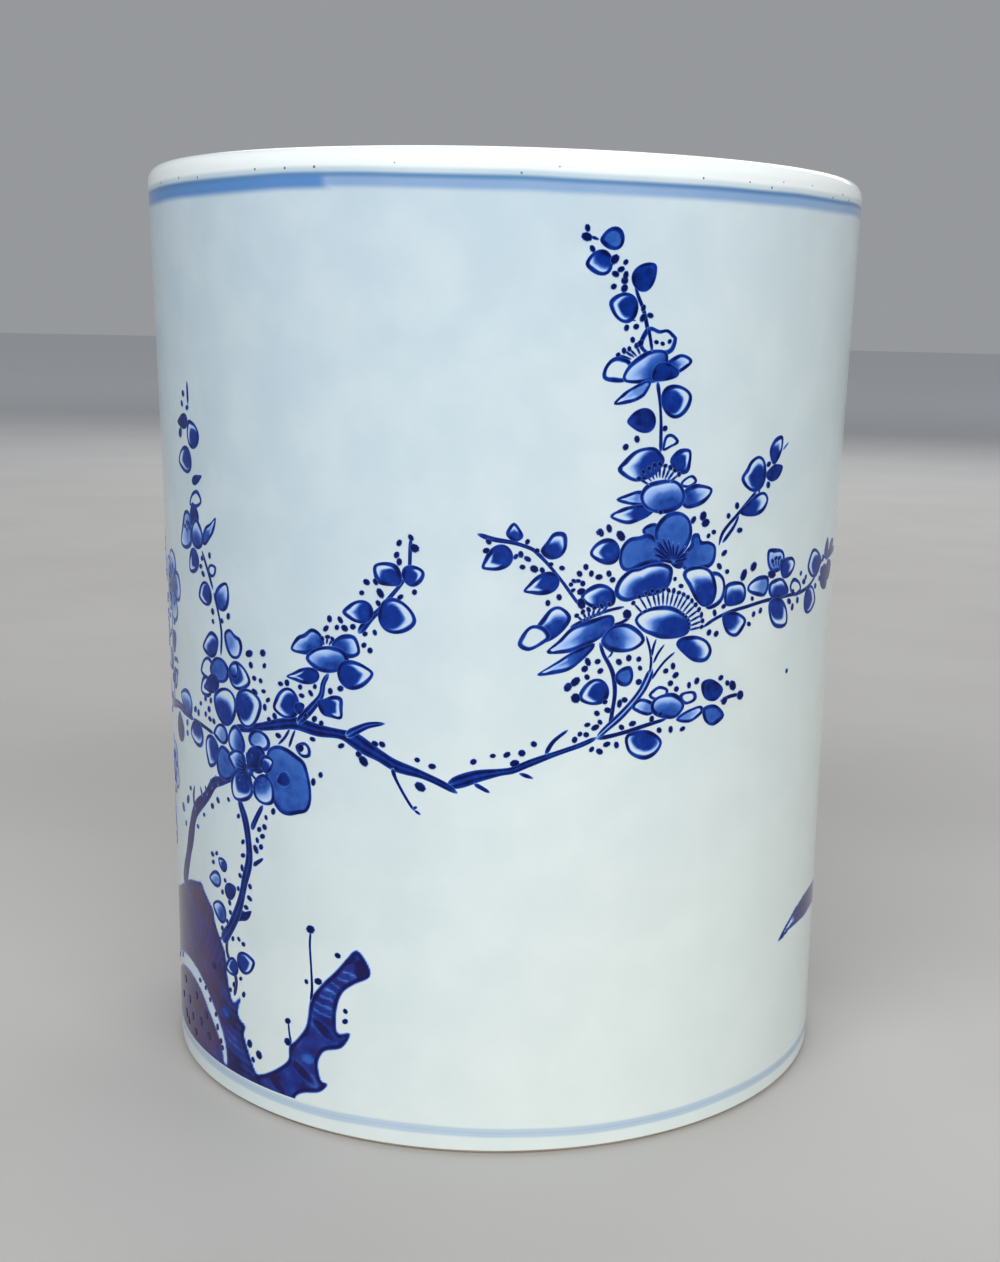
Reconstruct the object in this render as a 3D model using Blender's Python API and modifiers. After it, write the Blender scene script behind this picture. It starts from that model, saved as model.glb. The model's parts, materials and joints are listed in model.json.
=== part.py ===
"""A porcelain brush pot: a slightly waisted cylinder on a flat foot ring, glazed inside and out.

The pot is turned about the Z axis and stands on Z = 0. The finished, glazed surface is described first.
The glaze coats and the porcelain under them are that same surface moved into the wall.
"""

import math

import bmesh
import bpy
from mathutils import Vector

# Driving dimensions, in metres.
HEIGHT = 0.230
LIP_RADIUS = 0.0912
WAIST_RADIUS = 0.0892
WAIST_HEIGHT = 0.075
FOOT_RADIUS = 0.0895
WALL_THICKNESS = 0.0065
LIP_ROUND_HEIGHT = 0.0036
FLOOR_THICKNESS = 0.0080
FLOOR_FILLET = 0.0100
FOOT_RING_WIDTH = 0.0120
FOOT_BEVEL = 0.0007
RECESS_DEPTH = 0.0045
RECESS_FILLET = 0.0020
GLAZE_THICKNESS = 0.0005
GLAZE_LINE_HEIGHT = 0.0012
BASE_GLAZE_LINE_HEIGHT = 0.0015
COAT_GAP = 0.0003

# How quickly the wall leaves the waist, upwards and downwards.
FLARE_POWER = 1.5
SPREAD_POWER = 2.0

# How finely the turned shapes are divided.
TURN_SEGMENTS = 48
WALL_STEPS = 8
LIP_STEPS = 8
FILLET_STEPS = 4

# Worked out from the driving dimensions.
BODY_DEPTH = GLAZE_THICKNESS + COAT_GAP
LIP_BASE_HEIGHT = HEIGHT - LIP_ROUND_HEIGHT
RECESS_RADIUS = FOOT_RADIUS - BODY_DEPTH - FOOT_RING_WIDTH - BODY_DEPTH
INNER_FLOOR_HEIGHT = RECESS_DEPTH + FLOOR_THICKNESS
MERGE_DISTANCE = 0.00002


def clear_scene():
    """Removes every object, so that the pot is alone in the scene."""
    for obj in list(bpy.data.objects):
        bpy.data.objects.remove(obj, do_unlink=True)


def new_collection(name):
    """Returns a new collection in the scene."""
    collection = bpy.data.collections.new(name)
    bpy.context.scene.collection.children.link(collection)
    return collection


def new_material(name, colour, roughness, coat=0.0):
    """Returns a Principled material of one colour."""
    material = bpy.data.materials.new(name)
    material.use_nodes = True
    shader = material.node_tree.nodes["Principled BSDF"]
    shader.inputs["Base Color"].default_value = (*colour, 1.0)
    shader.inputs["Roughness"].default_value = roughness
    shader.inputs["Metallic"].default_value = 0.0
    shader.inputs["Coat Weight"].default_value = coat
    return material


def wall_radius(height):
    """Radius of the glazed outside at a height: a slack curve that is narrowest at the waist."""
    if height < WAIST_HEIGHT:
        share = (WAIST_HEIGHT - height) / WAIST_HEIGHT
        return WAIST_RADIUS + (FOOT_RADIUS - WAIST_RADIUS) * share**SPREAD_POWER
    share = (height - WAIST_HEIGHT) / (LIP_BASE_HEIGHT - WAIST_HEIGHT)
    return WAIST_RADIUS + (LIP_RADIUS - WAIST_RADIUS) * share**FLARE_POWER


def between(low, high, steps):
    """Returns evenly spaced values from low to high, both included."""
    return [low + (high - low) * step / steps for step in range(steps + 1)]


def corner(centre, radii, start, end, steps):
    """Returns points on an elliptic arc. Angles are in degrees from +X towards +Z."""
    angles = [math.radians(angle) for angle in between(start, end, steps)]
    return [
        Vector((centre[0] + radii[0] * math.cos(angle), centre[1] + radii[1] * math.sin(angle)))
        for angle in angles
    ]


def glazed_surface():
    """The outer coat's visible face: from the middle of the floor, up, over the lip and down the outside."""
    fillet_top = INNER_FLOOR_HEIGHT + FLOOR_FILLET
    inner_radius = wall_radius(fillet_top) - WALL_THICKNESS
    fillet_centre = (inner_radius - FLOOR_FILLET, fillet_top)
    points = [Vector((0.0, INNER_FLOOR_HEIGHT))]
    points += corner(fillet_centre, (FLOOR_FILLET, FLOOR_FILLET), -90.0, 0.0, FILLET_STEPS)
    for height in between(fillet_top, LIP_BASE_HEIGHT, WALL_STEPS)[1:-1]:
        points.append(Vector((wall_radius(height) - WALL_THICKNESS, height)))
    lip_centre = (LIP_RADIUS - WALL_THICKNESS / 2, LIP_BASE_HEIGHT)
    lip_radii = (WALL_THICKNESS / 2, LIP_ROUND_HEIGHT)
    points += corner(lip_centre, lip_radii, 180.0, 0.0, LIP_STEPS)
    for height in between(LIP_BASE_HEIGHT, GLAZE_LINE_HEIGHT, WALL_STEPS)[1:]:
        points.append(Vector((wall_radius(height), height)))
    return points


def recess_surface():
    """The base coat's visible face: from the edge inside the foot ring, up and in to the middle."""
    centre = (RECESS_RADIUS - RECESS_FILLET, RECESS_DEPTH - RECESS_FILLET)
    points = [Vector((RECESS_RADIUS, BASE_GLAZE_LINE_HEIGHT))]
    points += corner(centre, (RECESS_FILLET, RECESS_FILLET), 0.0, 90.0, FILLET_STEPS)
    points.append(Vector((0.0, RECESS_DEPTH)))
    return points


def moved_inward(points, distance):
    """Moves an open outline into the clay, which lies on its right-hand side, by an even distance."""
    moved = []
    for index, point in enumerate(points):
        before = points[max(index - 1, 0)]
        after = points[min(index + 1, len(points) - 1)]
        arriving = (point - before).normalized() if index > 0 else (after - point).normalized()
        leaving = (after - point).normalized() if after != point else arriving
        normal = Vector((arriving.y + leaving.y, -arriving.x - leaving.x)).normalized()
        stretch = normal.dot(Vector((leaving.y, -leaving.x)))
        moved.append(point + normal * distance / stretch)
    for point, original in zip(moved, points):
        if original.x == 0.0:
            point.x = 0.0
    return moved


def coat_outline(visible_face):
    """Closes a coat: its visible face, then back along its underside."""
    return visible_face + moved_inward(visible_face, GLAZE_THICKNESS)[::-1]


def body_outline():
    """The porcelain: under the outer coat, down to the bare foot ring, and under the base coat."""
    outside = moved_inward(glazed_surface(), BODY_DEPTH)
    recess = moved_inward(recess_surface(), BODY_DEPTH)
    foot_outer = wall_radius(0.0) - BODY_DEPTH
    foot_inner = recess[0].x
    foot = [
        Vector((foot_outer, FOOT_BEVEL)),
        Vector((foot_outer - FOOT_BEVEL, 0.0)),
        Vector((foot_inner + FOOT_BEVEL, 0.0)),
        Vector((foot_inner, FOOT_BEVEL)),
    ]
    return outside + foot + recess


def turned(name, outline, material, collection):
    """Makes one closed solid by turning an outline about the Z axis."""
    mesh = bpy.data.meshes.new(name)
    shape = bmesh.new()
    verts = [shape.verts.new((point.x, 0.0, point.y)) for point in outline]
    for first, second in zip(verts, verts[1:]):
        shape.edges.new((first, second))
    if outline[0].x > 0.0 or outline[-1].x > 0.0:
        shape.edges.new((verts[-1], verts[0]))
    shape.to_mesh(mesh)
    shape.free()
    mesh.materials.append(material)
    obj = bpy.data.objects.new(name, mesh)
    collection.objects.link(obj)
    screw = obj.modifiers.new("turn", "SCREW")
    screw.axis = "Z"
    screw.angle = math.tau
    screw.steps = TURN_SEGMENTS
    screw.render_steps = TURN_SEGMENTS
    screw.use_merge_vertices = True
    screw.merge_threshold = MERGE_DISTANCE
    screw.use_smooth_shade = True
    return obj


def build_pot():
    """Builds the porcelain body and its two coats of glaze."""
    clear_scene()
    pot = new_collection("brush_pot")
    biscuit = new_material("bare_porcelain", (0.74, 0.68, 0.58), 0.72)
    glaze = new_material("clear_glaze", (0.66, 0.73, 0.74), 0.12, coat=1.0)
    base = new_material("base_glaze", (0.68, 0.74, 0.74), 0.14, coat=1.0)
    turned("porcelain_body", body_outline(), biscuit, pot)
    turned("outer_glaze", coat_outline(glazed_surface()), glaze, pot)
    turned("base_glaze", coat_outline(recess_surface()), base, pot)


build_pot()
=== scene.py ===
"""The looks of a porcelain brush pot, painted under its glaze with a blossoming plum tree.

The turned wall is modelled finely, with its lip, foot ring and recessed base. The painting is laid on the
wall as thin skins of pigment that share the gloss of the glaze. A place on the painting is given in
millimetres: first the way round the wall, measured from the middle of the front and positive to the right,
then the height.
"""

import json
import logging
import math
import random
from collections import Counter
from dataclasses import dataclass, field
from enum import Enum
from typing import Callable, Sequence

import bpy
import numpy as np
from mathutils import Matrix, Vector

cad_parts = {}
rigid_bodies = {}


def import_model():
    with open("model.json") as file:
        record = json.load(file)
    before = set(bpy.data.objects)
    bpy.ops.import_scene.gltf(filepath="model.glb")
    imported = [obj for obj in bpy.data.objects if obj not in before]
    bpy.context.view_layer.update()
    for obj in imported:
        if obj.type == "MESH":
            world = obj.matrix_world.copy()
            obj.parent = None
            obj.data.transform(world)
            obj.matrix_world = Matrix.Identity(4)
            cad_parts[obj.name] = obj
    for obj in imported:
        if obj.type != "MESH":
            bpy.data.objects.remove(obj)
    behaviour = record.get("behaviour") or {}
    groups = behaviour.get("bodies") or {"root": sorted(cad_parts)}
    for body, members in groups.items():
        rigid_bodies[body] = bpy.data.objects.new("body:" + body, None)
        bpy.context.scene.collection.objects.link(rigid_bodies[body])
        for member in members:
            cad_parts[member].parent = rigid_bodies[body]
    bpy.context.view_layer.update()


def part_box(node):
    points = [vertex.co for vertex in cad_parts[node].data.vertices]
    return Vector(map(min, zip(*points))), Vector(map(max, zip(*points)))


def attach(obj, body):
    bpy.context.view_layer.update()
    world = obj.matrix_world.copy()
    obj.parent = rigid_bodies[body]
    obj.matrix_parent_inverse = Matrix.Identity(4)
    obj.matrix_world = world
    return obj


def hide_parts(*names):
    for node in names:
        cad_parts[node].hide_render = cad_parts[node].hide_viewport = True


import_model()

LOG = logging.getLogger("brush_pot")
MM = 0.001
LEAST_LENGTH = 1e-6

Colour = tuple[float, float, float]
Band = tuple[float, float, float]
Spot = tuple[float, ...]
Faces = list[tuple[int, ...]]


# ---------------------------------------------------------------- finishes


@dataclass(frozen=True)
class Glaze:
    """A clear glaze over white porcelain: its two slowly mixing tints, which carry painted shade and light,
    and its gloss.
    """

    # Painted shade and light: the darker cool tint stands for shade high on the left, the lighter warm tint
    # for light bounced up from below, low on the right.
    shaded_cool: Colour = (0.435, 0.552, 0.640)
    lit_warm: Colour = (0.645, 0.715, 0.690)
    # The lip's near white is a painted highlight, where the lip faces the light from above; the glaze's
    # random clouds lean to it too.
    lip: Colour = (0.88, 0.91, 0.90)
    kiln_grit: Colour = (0.30, 0.24, 0.18)
    cloudiness: float = 0.16
    roughness: float = 0.14
    gloss: float = 0.16


@dataclass(frozen=True)
class Cobalt:
    """The blue pigment, from its thinnest wash to the places where it pools. Its violet and plum are the
    pigment's own purplish cast, and near the edges of the front also a painted reflection of warm
    surroundings.
    """

    thin: Colour = (0.27, 0.43, 0.80)
    middle: Colour = (0.030, 0.110, 0.43)
    strong: Colour = (0.001, 0.024, 0.225)
    pooled: Colour = (0.0, 0.003, 0.058)
    violet: Colour = (0.052, 0.030, 0.135)
    plum: Colour = (0.083, 0.040, 0.082)
    rim: Colour = (0.030, 0.170, 0.480)
    rim_edge: Colour = (0.065, 0.185, 0.380)
    worn: Colour = (0.22, 0.36, 0.56)
    pinhole: Colour = (0.055, 0.060, 0.055)


@dataclass(frozen=True)
class Biscuit:
    """The bare fired clay of the foot ring."""

    clay: Colour = (0.66, 0.58, 0.47)
    burnt: Colour = (0.50, 0.36, 0.23)
    grit: Colour = (0.25, 0.19, 0.13)
    roughness: float = 0.78
    gloss: float = 0.2


@dataclass(frozen=True)
class PaintedLines:
    """The lines round the wall. A band is its two edges and their softness, and a share is its strength.

    The foot's bands are measured up from the ground and the lip's bands down from the top, in metres. The
    turn in which the lip's line is fully loaded is in radians, 0 at the middle of the front.
    """

    foot: tuple[tuple[Band, float], ...] = (
        ((0.0047, 0.0063, 0.0009), 0.62), ((0.0059, 0.0065, 0.0006), 0.72), ((0.0045, 0.0051, 0.0006), 0.76))
    lip_wash: Band = (0.0060, 0.0088, 0.0008)
    lip_loaded: Band = (0.0060, 0.0092, 0.0009)
    lip_edge: Band = (0.0058, 0.0067, 0.0005)
    pinholes: Band = (0.0036, 0.0058, 0.0003)
    loaded_turn: Band = (-1.35, -0.43, 0.03)
    loaded_share: float = 0.86
    pinhole_share: float = 0.9


class Graph:
    """A material's node tree, with short ways to add a node and join it."""

    def __init__(self, name: str) -> None:
        """Makes an empty material of this name, with a node that gives the place on the object."""
        self.material = bpy.data.materials.new(name)
        self.material.use_nodes = True
        self.tree = self.material.node_tree
        self.tree.nodes.clear()
        self.place = self.node("ShaderNodeTexCoord").outputs["Object"]

    def node(self, kind: str, links: dict | None = None, **settings: object) -> bpy.types.Node:
        """Adds a node.

        Args:
            kind: the node's type.
            links: the value or the socket that each of its inputs takes.
            settings: the node's own properties.

        Returns:
            The new node.
        """
        made = self.tree.nodes.new(kind)
        for key, value in settings.items():
            setattr(made, key, value)
        for key, value in (links or {}).items():
            if isinstance(value, bpy.types.NodeSocket):
                self.tree.links.new(value, made.inputs[key])
            else:
                made.inputs[key].default_value = value
        return made

    def maths(self, operation: str, first: object, second: object = 0.0, third: object = 0.0) -> object:
        """Returns the result socket of one Math node."""
        links = {0: first, 1: second, 2: third}
        return self.node("ShaderNodeMath", links, operation=operation).outputs[0]

    def times(self, product: object, *factors: object) -> object:
        """Returns the product of several values."""
        for factor in factors:
            product = self.maths("MULTIPLY", product, factor)
        return product

    def scaled(self, value: object, factor: float, offset: object) -> object:
        """Returns a value times a factor, plus an offset."""
        return self.maths("MULTIPLY_ADD", value, factor, offset)

    def axes(self) -> bpy.types.bpy_prop_collection:
        """Returns the sockets of the place's X, Y and Z."""
        return self.node("ShaderNodeSeparateXYZ", {0: self.place}).outputs

    def noise(self, scale: float, detail: float = 2.0) -> object:
        """Returns a noise value from 0 to 1 whose lumps are about 1/scale metres across."""
        links = {"Vector": self.place, "Scale": scale, "Detail": detail}
        return self.node("ShaderNodeTexNoise", links).outputs["Fac"]

    def ramp(self, value: object, low: float, high: float) -> object:
        """Returns a smooth step of a value, 0 at low and 1 at high."""
        links = {"Value": value, "From Min": low, "From Max": high}
        made = self.node("ShaderNodeMapRange", links, interpolation_type="SMOOTHSTEP")
        return made.outputs["Result"]

    def band(self, value: object, low: float, high: float, soft: float) -> object:
        """Returns 1 where a value lies between low and high, with soft ends."""
        rise = self.ramp(value, low - soft, low + soft)
        fall = self.ramp(value, high + soft, high - soft)
        return self.times(rise, fall)

    def mix(self, share: object, first: object, second: object) -> object:
        """Returns the colour that goes from the first to the second as share goes from 0 to 1."""
        first = (*first, 1.0) if isinstance(first, tuple) else first
        second = (*second, 1.0) if isinstance(second, tuple) else second
        made = self.node("ShaderNodeMix", {0: share, 6: first, 7: second}, data_type="RGBA")
        return made.outputs[2]

    def shade(self, colour: object, roughness: float, gloss: float,
              bump: object = None) -> bpy.types.Material:
        """Joins a Principled shader to the output.

        Args:
            colour: the base colour's socket.
            roughness: the roughness.
            gloss: the specular level.
            bump: the normal's socket, if the surface has relief.

        Returns:
            The finished material.
        """
        links = {"Base Color": colour, "Roughness": roughness, "Specular IOR Level": gloss}
        if bump is not None:
            links["Normal"] = bump
        shader = self.node("ShaderNodeBsdfPrincipled", links)
        self.node("ShaderNodeOutputMaterial", {"Surface": shader.outputs[0]})
        return self.material

    def relief(self, height: object, strength: float, distance: float) -> object:
        """Returns the normal of a bumpy surface."""
        links = {"Height": height, "Strength": strength, "Distance": distance}
        return self.node("ShaderNodeBump", links).outputs["Normal"]


def bare_glaze(graph: Graph, glaze: Glaze) -> tuple[object, object]:
    """The look of the glaze where no pigment lies, painted darker high on the left and lighter low on the
    right as painted shade and light. The wall and every skin of pigment share it.

    Args:
        graph: the material that takes the nodes.
        glaze: the tints.

    Returns:
        The colour's socket and the normal's socket.
    """
    axes = graph.axes()
    # Painted shade and light: the colour goes from the darker cool tint high on the left to the lighter warm
    # tint low on the right.
    slope = graph.scaled(axes[0], 2.6, graph.scaled(axes[2], -3.2, 0.94))
    drift = graph.scaled(graph.noise(9.0, 3.0), 0.5, -0.25)
    tint = graph.mix(graph.ramp(graph.maths("ADD", slope, drift), -0.1, 1.1), glaze.shaded_cool, glaze.lit_warm)
    cloud = graph.ramp(graph.noise(70.0, 4.0), 0.3, 0.8)
    tint = graph.mix(graph.times(cloud, glaze.cloudiness), tint, glaze.lip)
    peel = graph.noise(260.0, 1.0)
    return tint, graph.relief(peel, 0.05, 0.0004)


def painted_colour(graph: Graph, cobalt: Cobalt, ground: object, pigment: object, violet: object) -> object:
    """The colour of pigment of some strength over the bare glaze.

    Args:
        graph: the material that takes the nodes.
        cobalt: the pigment's colours.
        ground: the bare glaze's colour.
        pigment: the pigment's strength, 0 to 1.
        violet: how far the pigment leans to violet, 0 to 1.

    Returns:
        The colour's socket.
    """
    pool = graph.scaled(graph.noise(420.0, 3.0), 0.55, 0.73)
    strength = graph.times(pigment, pool)
    colour = graph.mix(graph.ramp(strength, 0.0, 0.22), ground, cobalt.thin)
    colour = graph.mix(graph.ramp(strength, 0.16, 0.50), colour, cobalt.middle)
    colour = graph.mix(graph.ramp(strength, 0.46, 0.76), colour, cobalt.strong)
    colour = graph.mix(graph.ramp(strength, 0.74, 1.00), colour, cobalt.pooled)
    # The lean to violet: the pigment's own cast, and near the edges of the front in part a painted reflection
    # of warm surroundings.
    dusk = graph.times(violet, graph.ramp(strength, 0.25, 0.8), 0.80)
    shift = graph.mix(graph.ramp(graph.noise(95.0, 4.0), 0.38, 0.62), cobalt.violet, cobalt.plum)
    return graph.mix(dusk, colour, shift)


def cobalt_material(glaze: Glaze, cobalt: Cobalt) -> bpy.types.Material:
    """Returns the finish of the painted marks, driven by the pigment and violet attributes."""
    graph = Graph("painted_under_glaze")
    ground, normal = bare_glaze(graph, glaze)
    pigment = graph.node("ShaderNodeAttribute", attribute_name="pigment").outputs["Fac"]
    violet = graph.node("ShaderNodeAttribute", attribute_name="violet").outputs["Fac"]
    colour = painted_colour(graph, cobalt, ground, pigment, violet)
    return graph.shade(colour, glaze.roughness, glaze.gloss, normal)


def wall_material(glaze: Glaze, cobalt: Cobalt, pot: "PotShape") -> bpy.types.Material:
    """Returns the finish of the glazed wall, with the lines painted under its lip and over its foot, and a
    painted highlight along the lip.
    """
    lines = PaintedLines()
    graph = Graph("clear_glazed_wall")
    ground, normal = bare_glaze(graph, glaze)
    axes = graph.axes()
    across = graph.maths("SQRT", graph.maths("ADD", *[graph.maths("POWER", axis, 2.0) for axis in axes[:2]]))
    outside = graph.ramp(across, pot.foot_radius - 0.0035, pot.foot_radius - 0.0025)
    wander = graph.scaled(graph.noise(14.0, 2.0), 0.0028, -0.0014)
    height = graph.maths("ADD", axes[2], wander)
    level = graph.maths("SUBTRACT", pot.height, height)
    # Painted highlight: the top few millimetres of the wall, where the lip faces the light from above, are
    # mixed towards near white.
    lip = graph.ramp(level, 0.0052, 0.0040)
    ground = graph.mix(graph.times(lip, 0.75), ground, glaze.lip)
    foot = 0.0
    for band, share in lines.foot:
        foot = graph.maths("MAXIMUM", foot, graph.times(graph.band(height, *band), share))
    patchy = graph.scaled(graph.noise(30.0, 2.0), 0.4, 0.80)
    ground = graph.mix(graph.times(foot, patchy, outside), ground, cobalt.worn)
    turn = graph.maths("ARCTAN2", axes[0], graph.times(axes[1], -1.0))
    loaded = graph.times(graph.band(turn, *lines.loaded_turn), lines.loaded_share)
    streak = graph.scaled(graph.ramp(graph.noise(22.0, 3.0), 0.30, 0.70), 0.14, 0.50)
    wash = graph.times(graph.band(level, *lines.lip_wash), streak)
    full = graph.times(graph.band(level, *lines.lip_loaded), loaded)
    wash = graph.times(graph.maths("MAXIMUM", wash, full), outside)
    uneven = graph.scaled(graph.noise(18.0, 2.0), 0.40, 0.68)
    edge = graph.times(graph.band(level, *lines.lip_edge), uneven, outside)
    colour = graph.mix(edge, graph.mix(wash, ground, cobalt.rim), cobalt.rim_edge)
    cells = graph.node("ShaderNodeTexVoronoi", {"Vector": graph.place, "Scale": 340.0}).outputs["Distance"]
    pits = graph.times(graph.ramp(cells, 0.12, 0.08), graph.band(level, *lines.pinholes), outside)
    colour = graph.mix(graph.times(pits, lines.pinhole_share), colour, cobalt.pinhole)
    return graph.shade(colour, glaze.roughness, glaze.gloss, normal)


def base_material(glaze: Glaze) -> bpy.types.Material:
    """Returns the finish of the glazed recess under the foot, with a little kiln grit."""
    graph = Graph("glazed_base")
    ground, normal = bare_glaze(graph, glaze)
    grit = graph.ramp(graph.noise(900.0, 2.0), 0.72, 0.78)
    colour = graph.mix(graph.times(grit, 0.6), ground, glaze.kiln_grit)
    return graph.shade(colour, glaze.roughness, glaze.gloss, normal)


def biscuit_material(biscuit: Biscuit) -> bpy.types.Material:
    """Returns the finish of the bare foot ring: gritty clay with a burnt line where it meets the glaze."""
    graph = Graph("bare_fired_clay")
    axes = graph.axes()
    blush = graph.times(graph.ramp(graph.noise(45.0, 4.0), 0.40, 0.65), 0.55)
    line = graph.ramp(axes[2], 0.0002, 0.0011)
    colour = graph.mix(graph.maths("MAXIMUM", blush, line), biscuit.clay, biscuit.burnt)
    grit = graph.noise(1500.0, 4.0)
    colour = graph.mix(graph.times(graph.ramp(grit, 0.62, 0.75), 0.5), colour, biscuit.grit)
    return graph.shade(colour, biscuit.roughness, biscuit.gloss, graph.relief(grit, 0.5, 0.0003))


# ---------------------------------------------------------------- modelling helpers


def deselect() -> None:
    """Leaves nothing selected, so that an operator acts on the new piece alone."""
    for obj in bpy.data.objects:
        obj.select_set(False)


def take(obj: bpy.types.Object) -> None:
    """Makes this object the only selected and active one."""
    deselect()
    obj.select_set(True)
    bpy.context.view_layer.objects.active = obj


def smooth(obj: bpy.types.Object, degrees: float) -> None:
    """Shades a piece smooth, with sharp edges where its faces turn by more than an angle."""
    take(obj)
    bpy.ops.object.shade_smooth_by_angle(angle=math.radians(degrees))


def turned(name: str, profile: Sequence[Spot], segments: int) -> bpy.types.Object:
    """Turns a closed profile about the Z axis, as on a wheel.

    Args:
        name: the piece's name.
        profile: radius and height of each point, in metres, the last joined to the first. A profile that
            starts and ends on the axis closes there.
        segments: how many steps make the turn.

    Returns:
        The turned piece, closed, with its faces pointing out.
    """
    deselect()
    bpy.ops.mesh.primitive_plane_add(size=0.01, location=(0.0, 0.0, 0.0))
    obj = bpy.context.object
    obj.name = obj.data.name = name
    bpy.ops.object.mode_set(mode="EDIT")
    bpy.ops.mesh.select_all(action="SELECT")
    bpy.ops.mesh.merge(type="CENTER")
    on_axis = profile[0][0] == 0.0
    route = list(profile) if on_axis else [*profile, profile[0]]
    bpy.ops.transform.translate(value=(route[0][0], 0.0, route[0][1]))
    for before, after in zip(route, route[1:]):
        step = (after[0] - before[0], 0.0, after[1] - before[1])
        bpy.ops.mesh.extrude_region_move(TRANSFORM_OT_translate={"value": step})
    bpy.ops.mesh.select_all(action="SELECT")
    bpy.ops.mesh.spin(steps=segments, angle=math.tau, center=(0.0, 0.0, 0.0), axis=(0.0, 0.0, 1.0))
    bpy.ops.mesh.select_all(action="SELECT")
    bpy.ops.mesh.remove_doubles(threshold=0.00001)
    bpy.ops.mesh.normals_make_consistent(inside=False)
    bpy.ops.object.mode_set(mode="OBJECT")
    return obj


def arc(centre: Spot, radius: Spot, start: float, end: float, steps: int) -> list[Spot]:
    """Returns the points of an elliptical arc, its angles in degrees from +X."""
    angles = [math.radians(start + (end - start) * step / steps) for step in range(steps + 1)]
    return [(centre[0] + radius[0] * math.cos(a), centre[1] + radius[1] * math.sin(a)) for a in angles]


# ---------------------------------------------------------------- the pot


@dataclass(frozen=True)
class PotShape:
    """The turned shape of the pot, in metres."""

    height: float
    lip_radius: float
    foot_radius: float = 0.0895
    waist_radius: float = 0.0892
    waist_height: float = 0.075
    wall: float = 0.0065
    lip_round: float = 0.0036
    floor: float = 0.0080
    floor_fillet: float = 0.0100
    ring_width: float = 0.0120
    recess_depth: float = 0.0045
    glaze_edge: float = 0.0012
    glaze: float = 0.0005
    gap: float = 0.0003

    @classmethod
    def from_frame(cls) -> "PotShape":
        """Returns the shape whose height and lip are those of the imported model."""
        low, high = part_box("outer_glaze")
        return cls(height=high.z, lip_radius=high.x)

    def radius(self, height: np.ndarray | float) -> np.ndarray:
        """Returns the radius of the glazed outside at a height: a slack curve, narrowest at the waist."""
        top = self.height - self.lip_round
        below = np.clip((self.waist_height - height) / self.waist_height, 0.0, 1.0)
        above = np.clip((height - self.waist_height) / (top - self.waist_height), 0.0, 1.0)
        flare = (self.lip_radius - self.waist_radius) * above**1.5
        return self.waist_radius + (self.foot_radius - self.waist_radius) * below**2 + flare


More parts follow.
